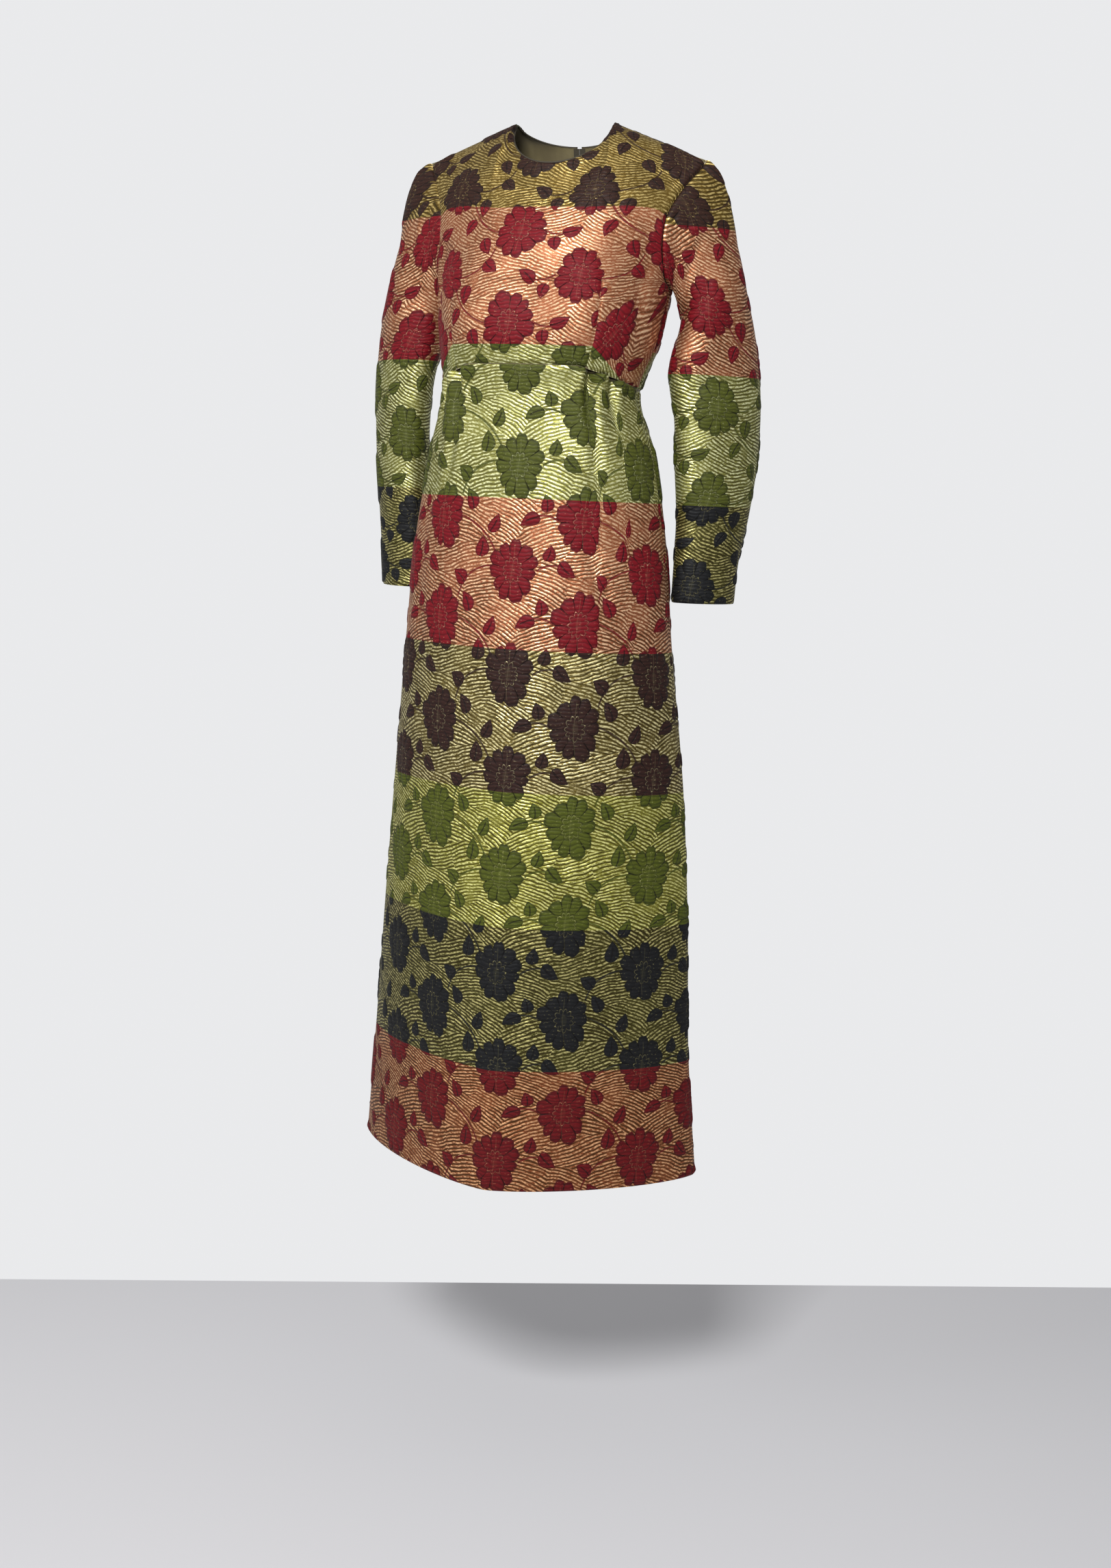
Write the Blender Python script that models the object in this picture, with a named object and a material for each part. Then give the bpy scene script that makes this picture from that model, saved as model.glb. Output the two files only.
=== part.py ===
# Maxi dress with long set-in sleeves, an empire seam and a long flared skirt, held up by its shoulders.
# The origin lies halfway between the two points where the shoulder seams meet the neck edge.
# +Z is up, the front faces -Y and the wearer's left side is +X. All sizes are in metres.
import math
from collections import namedtuple

import bpy
from mathutils import Vector

# Cloth
WALL = 0.002                  # thickness of the cloth
SEAM_GAP = 0.0003             # space left between two sewn pieces
HALF_GAP = SEAM_GAP / 2

# Main sizes
HEM_Z = -1.433                # height of the hem, which is also the length of the dress
NECK_HALF = 0.070             # half the width of the neck at the shoulder seams
NECK_FRONT_DROP = 0.060       # how far the neck edge falls at the front
NECK_BACK_DROP = 0.020        # and at the back
NECK_FRONT_REACH = 0.070      # how far the neck edge comes forward
NECK_BACK_REACH = 0.058       # and back
SHOULDER_HALF = 0.192         # half the width across the shoulder tips
SHOULDER_DROP = 0.048         # how far the shoulder seam falls from the neck to its tip
UNDERARM_Z = -0.216           # height of the bottom of the armholes
SEAM_FRONT_Z = -0.3235        # height of the empire seam between the darts
SEAM_SIDE_Z = -0.3485         # and at the sides and back
SEAM_FLAT_HALF = 0.40         # share of the half front along which the empire seam runs level
CHEST_ROUNDING = 0.085        # height over which the chest and back round over to the shoulder seam

# Bust of a general figure, and the tucks under the empire seam
BUST_Z = -0.243
BUST_X = 0.086
BUST_SIZE = 0.013
BUST_WIDTH = 0.055
BUST_HEIGHT = 0.070
TUCK_DEPTH = 0.0065           # depth of a tuck at the empire seam
TUCK_HALF_WIDTH = 0.011       # half the width of the trough beside a tuck's fold
FLARE_DEPTH = 0.0062          # soft waves at the back of the hem

# Woven pattern: a repeat holds two puffed blossoms, the second half a repeat further down
REPEAT_WIDE = 0.203
REPEAT_HIGH = 0.134
BLOSSOM_HALF_WIDE = 0.034
BLOSSOM_HALF_HIGH = 0.042
PUFF = 0.0014                 # how far a blossom stands above the ground of the cloth
BLOSSOM_AT = ((0.0, 0.0), (4 / 9, 0.5))
SKIRT_PUFF_SHIFT = 0.0785     # brings the rows of blossoms to their heights on the skirt

# Zip at the centre back
ZIP_HALF_WIDTH = 0.003
ZIP_THICKNESS = 0.0014
ZIP_END_Z = -0.550
CHAIN_TAPER = 0.75            # how far the chain's end runs into the closing opening
SLIDER_HALF_WIDTH = 0.0029
SLIDER_DOWN = 0.0015          # how far the slider sits below the first row under the neck edge
SLIDER_LENGTH = 0.010
PLATE = 0.001                 # thickness of the slider's two plates
POST_LENGTH = 0.002           # the post that joins them, above the end of the chain
BRIDGE_HALF_WIDTH = 0.0008
BRIDGE_HALF_OPENING = 0.0015
BRIDGE_HEIGHT = 0.0021        # clear height under the bridge
BRIDGE_THICKNESS = 0.0009
PULL_HALF_WIDTH = 0.0024
PULL_LENGTH = 0.020
PULL_THICKNESS = 0.0009
EYE_HALF_WIDTH = 0.0014
EYE_LENGTH = 0.0037

# Rows and columns of the wall points
SKIRT_ROW = 0.0219
SKIRT_ROW_STRIDE = 3          # the plain inside of the skirt keeps every third row below the hip
SKIRT_CLOSE_ROWS = 12         # and every row above it
ARMHOLE_ROWS = 10
SIDE_ROWS = 6
SLEEVE_SIDES = 2 * ARMHOLE_ROWS
CAP_RINGS = 5
SLEEVE_ROW = 0.021
NECK_COLUMNS = 5              # columns of half a bodice piece that end on the neck edge

# Shares of the half section at which the columns stand, closer together at the tucks
FRONT_STOPS = (0.0, 0.1, 0.2, 0.3, 0.4, 0.46, 0.5, 0.54, 0.6, 0.65, 0.69, 0.73, 0.82, 0.91, 1.0)
BACK_STOPS = tuple(step / 11 for step in range(12))

Level = namedtuple("Level", "z middle side_y half_width front back front_power back_power")
Edge = namedtuple("Edge", "z x front_y back_y")
Centre = namedtuple("Centre", "z front_y back_y")
Ring = namedtuple("Ring", "z x y long_half short_half")
Tuck = namedtuple("Tuck", "place length depth")
Cap = namedtuple("Cap", "reach stand")
Colour = namedtuple("Colour", "red green blue")

# Level sections of the worn dress, from the underarm to the hem
LEVELS = (
    Level(-0.216, -0.003, -0.020, 0.161, 0.110, 0.105, 2.20, 2.20),
    Level(-0.286, -0.003, -0.031, 0.150, 0.106, 0.106, 2.25, 2.20),
    Level(-0.356, -0.009, -0.040, 0.136, 0.090, 0.090, 2.20, 2.20),
    Level(-0.431, -0.005, -0.039, 0.156, 0.096, 0.098, 2.10, 2.10),
    Level(-0.561, -0.006, -0.033, 0.178, 0.109, 0.118, 1.90, 2.00),
    Level(-0.686, -0.005, -0.030, 0.190, 0.120, 0.120, 1.75, 1.90),
    Level(-0.877, -0.001, -0.020, 0.210, 0.136, 0.121, 1.60, 1.85),
    Level(-1.066, -0.002, -0.008, 0.225, 0.153, 0.120, 1.45, 1.80),
    Level(-1.256, -0.005, 0.004, 0.236, 0.168, 0.118, 1.40, 1.80),
    Level(-1.433, -0.004, 0.015, 0.251, 0.184, 0.115, 1.38, 1.80),
)

# The armhole edge, from the shoulder tip to the underarm
ARMHOLE = (
    Edge(-0.216, 0.161, -0.020, -0.020),
    Edge(-0.207, 0.1585, -0.037, 0.008),
    Edge(-0.187, 0.157, -0.048, 0.040),
    Edge(-0.155, 0.156, -0.053, 0.057),
    Edge(-0.121, 0.159, -0.047, 0.053),
    Edge(-0.079, 0.173, -0.028, 0.034),
    Edge(-0.048, 0.192, 0.000, 0.000),
)

# How far the centre front and centre back stand out above the underarm
CENTRES = (
    Centre(-0.286, -0.137, 0.075),
    Centre(-0.216, -0.132, 0.085),
    Centre(-0.171, -0.124, 0.088),
    Centre(-0.131, -0.107, 0.087),
    Centre(-0.091, -0.088, 0.080),
    Centre(-0.051, -0.072, 0.070),
    Centre(0.000, -0.056, 0.056),
)

# The sleeves below their caps: the flat of a worn sleeve turns from outer back to inner front
LEFT_SLEEVE = (
    Ring(-0.231, 0.207, 0.024, 0.042, 0.042),
    Ring(-0.296, 0.207, 0.033, 0.062, 0.038),
    Ring(-0.367, 0.2175, 0.035, 0.0635, 0.036),
    Ring(-0.439, 0.2195, 0.036, 0.062, 0.035),
    Ring(-0.511, 0.2185, 0.033, 0.054, 0.033),
    Ring(-0.571, 0.2145, 0.027, 0.048, 0.031),
    Ring(-0.627, 0.2135, 0.022, 0.0465, 0.031),
)
RIGHT_SLEEVE = (
    Ring(-0.231, 0.210, 0.024, 0.045, 0.046),
    Ring(-0.296, 0.2335, 0.034, 0.060, 0.036),
    Ring(-0.367, 0.242, 0.040, 0.060, 0.034),
    Ring(-0.439, 0.242, 0.043, 0.056, 0.034),
    Ring(-0.511, 0.238, 0.043, 0.051, 0.032),
    Ring(-0.571, 0.234, 0.042, 0.047, 0.031),
    Ring(-0.627, 0.229, 0.040, 0.046, 0.031),
)
SLEEVE_TURN = math.radians(45)

# How far the top of each cap swings out, and how far it stands up round the shoulder seam
LEFT_CAP = Cap(0.043, 0.006)
RIGHT_CAP = Cap(0.050, 0.009)
CAP_FALL = 0.120
UNDERARM_REACH = 0.030
UNDERARM_FALL = 0.020
RING_TILT = 0.60              # how far the upper rings rise towards the outer arm
SLEEVE_CLEARANCE = 0.0036     # space between a sleeve and the side of the dress

# Two tucks on each side of the skirt front, as shares of the half front, with their lengths
TUCKS = (
    Tuck(0.50, 0.13, 1.0),
    Tuck(0.68, 0.08, 0.8),
    Tuck(-0.52, 0.16, 1.0),
    Tuck(-0.69, 0.09, 0.6),
)

BRASS = Colour(0.55, 0.42, 0.18)
CLOTH_BODICE = Colour(0.50, 0.26, 0.13)
CLOTH_SKIRT = Colour(0.30, 0.30, 0.08)
CLOTH_SLEEVE = Colour(0.42, 0.32, 0.12)


def mix(a, b, share):
    return a + (b - a) * share


def ease(value):
    """A smooth step from 0 to 1."""
    value = min(1.0, max(0.0, value))
    return value * value * (3 - 2 * value)


def table_at(rows, z):
    """Reads a table at a height, smoothly between its rows."""
    rows = sorted(rows, key=lambda row: row.z)
    if z <= rows[0].z:
        return rows[0]
    if z >= rows[-1].z:
        return rows[-1]
    index = 0
    while rows[index + 1].z < z:
        index += 1
    low, high = rows[index], rows[index + 1]
    before = rows[max(0, index - 1)]
    after = rows[min(len(rows) - 1, index + 2)]
    span = high.z - low.z
    share = (z - low.z) / span
    values = []
    for a, b, c, d in zip(before, low, high, after):
        slope_low = (c - a) / (high.z - before.z) * span
        slope_high = (d - b) / (after.z - low.z) * span
        square = share * share
        cube = square * share
        values.append((2 * cube - 3 * square + 1) * b + (cube - 2 * square + share) * slope_low
                      + (3 * square - 2 * cube) * c + (cube - square) * slope_high)
    return type(low)(*values)


def blossom_puff(across, down):
    """Height of the puffed blossoms at a place on the cloth."""
    height = 0.0
    for shift_wide, shift_high in BLOSSOM_AT:
        x = across / REPEAT_WIDE - shift_wide
        y = down / REPEAT_HIGH - shift_high
        x = (x - round(x)) * REPEAT_WIDE / BLOSSOM_HALF_WIDE
        y = (y - round(y)) * REPEAT_HIGH / BLOSSOM_HALF_HIGH
        height = max(height, 1 - x * x - y * y)
    return PUFF * ease(height * 1.6)


def shoulder_z(x):
    """Height of the shoulder seam, which falls away from the neck."""
    return -(abs(x) - NECK_HALF) * SHOULDER_DROP / (SHOULDER_HALF - NECK_HALF)


def top_edge(share, drop, reach):
    """Height and depth of the upper edge of a bodice piece at a share of the shoulder width."""
    x = abs(share) * SHOULDER_HALF
    if x >= NECK_HALF:
        return shoulder_z(x), 0.0
    round_off = math.sqrt(1 - (x / NECK_HALF) ** 2)
    return -drop * round_off, reach * round_off


def seam_z(share, is_front):
    """Height of the empire seam: level between the darts, falling beyond them, straight at the back."""
    if not is_front:
        return SEAM_SIDE_Z
    beyond = max(0.0, abs(share) - SEAM_FLAT_HALF) / (1 - SEAM_FLAT_HALF)
    return mix(SEAM_FRONT_Z, SEAM_SIDE_Z, beyond ** 0.8)


def section_shape(share, z, is_front):
    """How far a level section stands out between its side, 0, and its centre, 1."""
    level = table_at(LEVELS, z)
    power = level.front_power if is_front else level.back_power
    round_part = (1 - abs(share) ** power) ** (1 / power)
    flat_part = 1 - abs(share) ** 2.3
    above = ease((z - UNDERARM_Z + 0.02) / 0.07)
    return mix(round_part, flat_part, above)


def body_point(share, z, is_front):
    """A point of the outer cloth at a height: share runs from -1 to 1 between the sides."""
    share = max(-1.0, min(1.0, share))
    level = table_at(LEVELS, z)
    if z > UNDERARM_Z:
        edge = table_at(ARMHOLE, z)
        centre = table_at(CENTRES, z)
        half_width = edge.x
        side_y = edge.front_y if is_front else edge.back_y
        centre_y = centre.front_y if is_front else centre.back_y
        middle = level.middle * ease(z / UNDERARM_Z)
    else:
        half_width = level.half_width
        side_y = level.side_y
        centre_y = side_y - level.front if is_front else side_y + level.back
        middle = level.middle
    x = middle + share * half_width
    y = mix(side_y, centre_y, section_shape(share, z, is_front))
    if is_front:
        near_bust = ((abs(x) - BUST_X) / BUST_WIDTH) ** 2 + ((z - BUST_Z) / BUST_HEIGHT) ** 2
        y -= BUST_SIZE * math.exp(-near_bust) * (1 - abs(share) ** 4)
    return Vector((x, y, z))


def arc_shares(z, is_front, arcs):
    """Shares of the half width that lie at given shares of a level section's arc, and its length."""
    steps = 60
    path = [body_point(step / steps, z, is_front) for step in range(steps + 1)]
    lengths = [0.0]
    for a, b in zip(path, path[1:]):
        lengths.append(lengths[-1] + (b - a).length)
    shares = []
    for wanted in arcs:
        target = abs(wanted) * lengths[-1]
        index = 0
        while index < steps - 1 and lengths[index + 1] < target:
            index += 1
        inside = (target - lengths[index]) / (lengths[index + 1] - lengths[index])
        shares.append(math.copysign((index + min(1.0, inside)) / steps, wanted))
    return shares, lengths[-1]


def grid_normals(grid, closed):
    """Outward directions at the points of a grid of rows, from their neighbours."""
    rows, columns = len(grid), len(grid[0])
    normals = []
    for i in range(rows):
        line = []
        for j in range(columns):
            if closed:
                left, right = grid[i][j - 1], grid[i][(j + 1) % columns]
            else:
                left, right = grid[i][max(0, j - 1)], grid[i][min(columns - 1, j + 1)]
            above, below = grid[max(0, i - 1)][j], grid[min(rows - 1, i + 1)][j]
            line.append((right - left).cross(above - below).normalized())
        normals.append(line)
    return normals


def raise_puffs(outer, normals, places):
    """Moves the outer points out where a blossom lies, but not on the edges of the piece."""
    raised = []
    for line, directions, spots in zip(outer, normals, places):
        raised.append([point + direction * (blossom_puff(*spot) if spot else 0.0)
                       for point, direction, spot in zip(line, directions, spots)])
    return raised


def wall_object(name, outer, inner, kept, closed, colour):
    """A closed cloth wall from a fine outer grid and the kept rows of a plain inner grid."""
    rows, columns = len(outer), len(outer[0])
    points = [point for line in outer for point in line]
    base = len(points)
    for row in kept:
        points.extend(inner[row])
    faces = []
    spans = columns if closed else columns - 1
    for i in range(len(kept) - 1):
        top, bottom = base + i * columns, base + (i + 1) * columns
        for j in range(spans):
            k = (j + 1) % columns
            faces.append((top + j, top + k, bottom + k, bottom + j))
    for i in range(rows - 1):
        for j in range(spans):
            k = (j + 1) % columns
            faces.append((i * columns + j, (i + 1) * columns + j, (i + 1) * columns + k, i * columns + k))
    last_inner = base + (len(kept) - 1) * columns
    last_outer = (rows - 1) * columns
    for j in range(spans):
        k = (j + 1) % columns
        faces.append((j, k, base + k, base + j))
        faces.append((last_outer + k, last_outer + j, last_inner + j, last_inner + k))
    if not closed:
        for i in range(len(kept) - 1):
            first, final = kept[i], kept[i + 1]
            start = [row * columns for row in range(first, final + 1)]
            faces.append(tuple([base + i * columns, base + (i + 1) * columns] + start[::-1]))
            end = [row * columns + columns - 1 for row in range(first, final + 1)]
            inner_end = [base + (i + 1) * columns + columns - 1, base + i * columns + columns - 1]
            faces.append(tuple(end + inner_end))
    return mesh_object(name, points, faces, colour, 0.45, 0.35)


def mesh_object(name, points, faces, colour, roughness, metallic):
    """Makes an object with its own material."""
    mesh = bpy.data.meshes.new(name)
    mesh.from_pydata([tuple(point) for point in points], [], faces)
    mesh.update()
    mesh.shade_smooth()
    mesh.set_sharp_from_angle(angle=math.radians(40))
    made = bpy.data.objects.new(name, mesh)
    bpy.context.scene.collection.objects.link(made)
    material = bpy.data.materials.new(name)
    material.use_nodes = True
    shader = material.node_tree.nodes["Principled BSDF"]
    shader.inputs["Base Color"].default_value = (*colour, 1.0)
    shader.inputs["Roughness"].default_value = roughness
    shader.inputs["Metallic"].default_value = metallic
    mesh.materials.append(material)
    return made


def inward(outer, normals):
    return [[point - direction * WALL for point, direction in zip(line, directions)]
            for line, directions in zip(outer, normals)]


def bodice_shares(stops):
    """Shares of the shoulder width at the upper edge of half a piece, with one on the neck point."""
    neck_share = NECK_HALF / SHOULDER_HALF
    beyond = len(stops) - 1 - NECK_COLUMNS
    shares = [neck_share * math.sin(math.pi / 2 * step / NECK_COLUMNS) for step in range(NECK_COLUMNS + 1)]
    return shares + [mix(neck_share, 1.0, step / beyond) for step in range(1, beyond + 1)]


def both_sides(half):
    return [-value for value in half[:0:-1]] + list(half)


def bodice_grid(is_front, top_shares, arcs):
    """Outer points of a bodice piece, from its upper edge down to the empire seam."""
    drop = NECK_FRONT_DROP if is_front else NECK_BACK_DROP
    reach = -NECK_FRONT_REACH if is_front else NECK_BACK_REACH
    outward = -1 if is_front else 1
    grid = []
    underarm = (-SHOULDER_DROP - UNDERARM_Z) / (-SHOULDER_DROP - SEAM_SIDE_Z)
    for row in range(ARMHOLE_ROWS + SIDE_ROWS + 1):
        if row <= ARMHOLE_ROWS:
            down = underarm * (row / ARMHOLE_ROWS) ** 1.3
        else:
            down = mix(underarm, 1.0, (row - ARMHOLE_ROWS) / SIDE_ROWS)
        line = []
        for column, top_share in enumerate(top_shares):
            low_z = seam_z(arcs[column], is_front) + HALF_GAP
            high_z, top_y = top_edge(top_share, drop, reach)
            z = mix(high_z, low_z, down)
            even, _ = arc_shares(min(z, UNDERARM_Z), is_front, arcs[column:column + 1])
            share = mix(top_share, even[0], ease(down / 0.62))
            point = body_point(share, z, is_front)
            rise = 1 - (high_z - z) / CHEST_ROUNDING
            if rise > 0:
                turn = 1 - math.sqrt(max(0.0, 1 - rise * rise))
                top_point = Vector((top_share * SHOULDER_HALF, top_y, z))
                point = point.lerp(top_point, turn)
            if row == 0 and abs(top_share) * SHOULDER_HALF >= NECK_HALF:
                point.y = outward * HALF_GAP
            if abs(share) > 0.9999 and z < UNDERARM_Z + SEAM_GAP:
                point.y += outward * HALF_GAP
            line.append(point)
        grid.append(line)
    return grid


def bodice_normals(grid, top_shares, is_front):
    """Outward directions of a bodice piece, level at its side seams and upright on the shoulders."""
    normals = grid_normals(grid, False)
    slope = math.atan2(SHOULDER_DROP, SHOULDER_HALF - NECK_HALF)
    for column, share in enumerate(top_shares):
        if abs(share) * SHOULDER_HALF >= NECK_HALF - 1e-6:
            normals[0][column] = Vector((math.copysign(math.sin(slope), share), 0.0, math.cos(slope)))
        bottom = normals[-1][column]
        normals[-1][column] = Vector((bottom.x, bottom.y, 0.0)).normalized()
    for line, directions in zip(grid, normals):
        for end in (0, -1):
            if abs(top_shares[end]) > 0.5 and line[end].z < UNDERARM_Z + SEAM_GAP:
                directions[end] = Vector((math.copysign(1.0, top_shares[end]), 0.0, 0.0))
    straighten_centre(grid, normals)
    return normals


def straighten_centre(grid, normals):
    """Keeps the thickness square to the centre back edges."""
    for line, directions in zip(grid, normals):
        for end in (0, -1):
            if abs(line[end].x) < 0.05:
                directions[end] = Vector((0.0, directions[end].y, directions[end].z)).normalized()


def cloth_places(grid, across_shift, down_shift, edge_free):
    """Places on the cloth of the grid's points: across from the centre and down."""
    places = []
    rows, columns = len(grid), len(grid[0])
    for i, line in enumerate(grid):
        middle = min(range(columns), key=lambda j: abs(line[j].x))
        distance = [0.0] * columns
        for j in range(middle + 1, columns):
            distance[j] = distance[j - 1] + (line[j] - line[j - 1]).length
        for j in range(middle - 1, -1, -1):
            distance[j] = distance[j + 1] - (line[j] - line[j + 1]).length
        spots = []
        for j in range(columns):
            on_edge = edge_free and (i in (0, rows - 1) or j in (0, columns - 1))
            spots.append(None if on_edge else (distance[j] + across_shift, -line[j].z + down_shift))
        places.append(spots)
    return places


def open_for_zip(grid, side):
    """Moves the centre back edge of a piece aside for the zip, or for the seam below it."""
    for line in grid:
        is_open = line[0].z > ZIP_END_Z
        line[0].x += side * (ZIP_HALF_WIDTH + SEAM_GAP if is_open else HALF_GAP)


def make_bodice_front():
    arcs = both_sides(FRONT_STOPS)
    shares = both_sides(bodice_shares(FRONT_STOPS))
    grid = bodice_grid(True, shares, arcs)
    normals = bodice_normals(grid, shares, True)
    outer = raise_puffs(grid, normals, cloth_places(grid, 0.021, -0.015, True))
    wall_object("bodice_front", outer, inward(grid, normals), range(len(grid)), False, CLOTH_BODICE)
    return grid


def make_bodice_back(side):
    """side is 1 for the wearer's left half and -1 for the right half."""
    shares = [side * share for share in bodice_shares(BACK_STOPS)]
    arcs = [side * arc for arc in BACK_STOPS]
    grid = bodice_grid(False, shares, arcs)
    open_for_zip(grid, side)
    if side > 0:
        grid = [line[::-1] for line in grid]
        shares = shares[::-1]
    normals = bodice_normals(grid, shares, False)
    outer = raise_puffs(grid, normals, cloth_places(grid, 0.0, -0.015, True))
    name = "bodice_back_left" if side > 0 else "bodice_back_right"
    wall_object(name, outer, inward(grid, normals), range(len(grid)), False, CLOTH_BODICE)
    return grid


def tuck_trough(share, below):
    """How deep the cloth falls in beside a tuck's fold, and how far the fold stands out."""
    depth = 0.0
    for tuck in TUCKS:
        if below < tuck.length:
            offset = (share - tuck.place) * 0.20 / TUCK_HALF_WIDTH
            fade = (1 - below / tuck.length) ** 1.3
            inside = -math.exp(-offset * offset) + 0.55 * math.exp(-(abs(offset) - 1.7) ** 2)
            depth += TUCK_DEPTH * tuck.depth * fade * inside
    return depth


def skirt_grid(is_front, arcs):
    """Outer points of a skirt piece from the empire seam to the hem, and their cloth places."""
    outward = -1 if is_front else 1
    grid, places = [], []
    count = round((SEAM_FRONT_Z - HEM_Z) / SKIRT_ROW)
    for row in range(count + 1):
        line, spots = [], []
        for arc in arcs:
            top_z = seam_z(arc, is_front) - HALF_GAP
            z = mix(top_z, HEM_Z, row / count)
            shares, length = arc_shares(z, is_front, (arc,))
            point = body_point(shares[0], z, is_front)
            if is_front:
                move = tuck_trough(arc, top_z - z)
            else:
                waves = math.cos(3 * math.pi * arc) * (1 - abs(arc) ** 6)
                move = FLARE_DEPTH * waves * ease((-z - 0.6) / 0.85)
            level = table_at(LEVELS, z)
            centre = Vector((level.middle, level.side_y / 2, z))
            point += (point - centre).normalized() * move
            if abs(arc) > 0.9999:
                point.y += outward * HALF_GAP
            line.append(point)
            on_edge = row in (0, count) or arc in (arcs[0], arcs[-1])
            spots.append(None if on_edge else (arc * length, -z + SKIRT_PUFF_SHIFT))
        grid.append(line)
        places.append(spots)
    return grid, places


def skirt_normals(grid):
    """Outward directions, level along the empire seam and square to the side seams."""
    normals = grid_normals(grid, False)
    for directions in (normals[0], normals[-1]):
        for column, direction in enumerate(directions):
            directions[column] = Vector((direction.x, direction.y, 0.0)).normalized()
    for line, directions in zip(grid, normals):
        for end in (0, -1):
            if abs(line[end].x) > 0.1:
                directions[end] = Vector((math.copysign(1.0, line[end].x), 0.0, 0.0))
    straighten_centre(grid, normals)
    return normals


def skirt_inner_rows(rows):
    """Rows of the plain inside: all of them at the hip, then every few rows down to the hem."""
    below = range(SKIRT_CLOSE_ROWS, rows - 1, SKIRT_ROW_STRIDE)
    return list(range(SKIRT_CLOSE_ROWS)) + list(below) + [rows - 1]


def make_skirt_front():
    grid, places = skirt_grid(True, both_sides(FRONT_STOPS))
    normals = skirt_normals(grid)
    outer = raise_puffs(grid, normals, places)
    kept = skirt_inner_rows(len(grid))
    wall_object("skirt_front", outer, inward(grid, normals), kept, False, CLOTH_SKIRT)


def make_skirt_back(side):
    grid, places = skirt_grid(False, [side * arc for arc in BACK_STOPS])
    open_for_zip(grid, side)
    if side > 0:
        grid = [line[::-1] for line in grid]
        places = [spots[::-1] for spots in places]
    normals = skirt_normals(grid)
    outer = raise_puffs(grid, normals, places)
    name = "skirt_back_left" if side > 0 else "skirt_back_right"
    kept = skirt_inner_rows(len(grid))
    wall_object(name, outer, inward(grid, normals), kept, False, CLOTH_SKIRT)
    return grid


def armhole_loop(front, back, side):
    """The armhole edge as a loop from the shoulder tip down the front and up the back."""
    front_column = -1 if side > 0 else 0
    back_column = 0 if side > 0 else -1
    down_front = [line[front_column] for line in front[:ARMHOLE_ROWS + 1]]
    up_back = [line[back_column] for line in back[ARMHOLE_ROWS - 1:0:-1]]
    return down_front + up_back


def sleeve_ring(table, z, side, tilt):
    """A ring of the worn sleeve, starting at the outer arm and running to the front."""
    ring = table_at(table, z)
    long_way = Vector((math.cos(SLEEVE_TURN), math.sin(SLEEVE_TURN), 0.0))
    short_way = Vector((math.sin(SLEEVE_TURN), -math.cos(SLEEVE_TURN), 0.0))
    points = []
    for index in range(SLEEVE_SIDES):
        angle = SLEEVE_TURN + 2 * math.pi * index / SLEEVE_SIDES
        reach = (long_way * ring.long_half * math.cos(angle)
                 + short_way * ring.short_half * math.sin(angle))
        points.append(Vector((side * (ring.x + reach.x), ring.y + reach.y, z + reach.x * tilt)))
    return points


def clear_of_body(point, side):
    """Moves a sleeve point out to where it just clears the bodice and skirt beside it."""
    level = table_at(LEVELS, min(point.z, UNDERARM_Z))
    is_front = point.y < level.side_y
    reach = level.front if is_front else level.back
    power = level.front_power if is_front else level.back_power
    deep = min(1.0, abs(point.y - level.side_y) / reach)
    body_x = level.middle + side * level.half_width * (1 - deep ** power) ** (1 / power)
    wanted = body_x + side * SLEEVE_CLEARANCE
    if side * (wanted - point.x) > 0:
        point.x = mix(point.x, wanted, ease((-point.z - 0.196) / 0.012))


def make_sleeve(side, front, back):
    table = LEFT_SLEEVE if side > 0 else RIGHT_SLEEVE
    cap = LEFT_CAP if side > 0 else RIGHT_CAP
    away = Vector((side, 0.0, 0.0))
    start = []
    for point in armhole_loop(front, back, side):
        low = ease((-point.z - 0.15) / 0.06)
        start.append(point + away * SEAM_GAP + Vector((0.0, 0.0, SEAM_GAP * low)))
    first = sleeve_ring(table, table[0].z, side, RING_TILT)
    grid = []
    for ring in range(CAP_RINGS):
        step = ring / CAP_RINGS
        line = []
        for index, (a, b) in enumerate(zip(start, first)):
            top = 0.5 + 0.5 * math.cos(2 * math.pi * index / SLEEVE_SIDES)
            leave = away * mix(UNDERARM_REACH, cap.reach, top)
            arrive = Vector((side * 0.02 * top, 0.0, -mix(UNDERARM_FALL, CAP_FALL, top)))
            square, cube = step ** 2, step ** 3
            point = (a * (2 * cube - 3 * square + 1) + leave * (cube - 2 * square + step)
                     + b * (3 * square - 2 * cube) + arrive * (cube - square))
            eased = cap.stand * top ** 3 * math.sin(math.pi * min(1.0, step / 0.7))
            line.append(point + Vector((side * eased, 0.0, eased * 0.4)))
        grid.append(line)
    lowest = table[-1].z
    count = round((table[0].z - lowest) / SLEEVE_ROW)
    for row in range(count + 1):
        share = row / count
        tilt = RING_TILT * (1 - ease(share / 0.8))
        grid.append(sleeve_ring(table, mix(table[0].z, lowest, share), side, tilt))
    for line in grid[1:]:
        for point in line:
            clear_of_body(point, side)
    if side > 0:
        grid = [[line[0]] + line[:0:-1] for line in grid]
    normals = grid_normals(grid, True)
    for row in (0, -1):
        flat = Vector((0.0, 1.0, 1.0)) if row == 0 else Vector((1.0, 1.0, 0.0))
        normals[row] = [(direction * flat).normalized() for direction in normals[row]]
    places = []
    rows = len(grid)
    for i, line in enumerate(grid):
        round_length = sum((line[j] - line[j - 1]).length for j in range(len(line)))
        down = 0.02 + i * 0.0215
        places.append([None if i in (0, rows - 1) else (round_length * j / SLEEVE_SIDES, down)
                       for j in range(SLEEVE_SIDES)])
    outer = raise_puffs(grid, normals, places)
    name = "sleeve_left" if side > 0 else "sleeve_right"
    wall_object(name, outer, inward(grid, normals), range(rows), True, CLOTH_SLEEVE)


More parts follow.
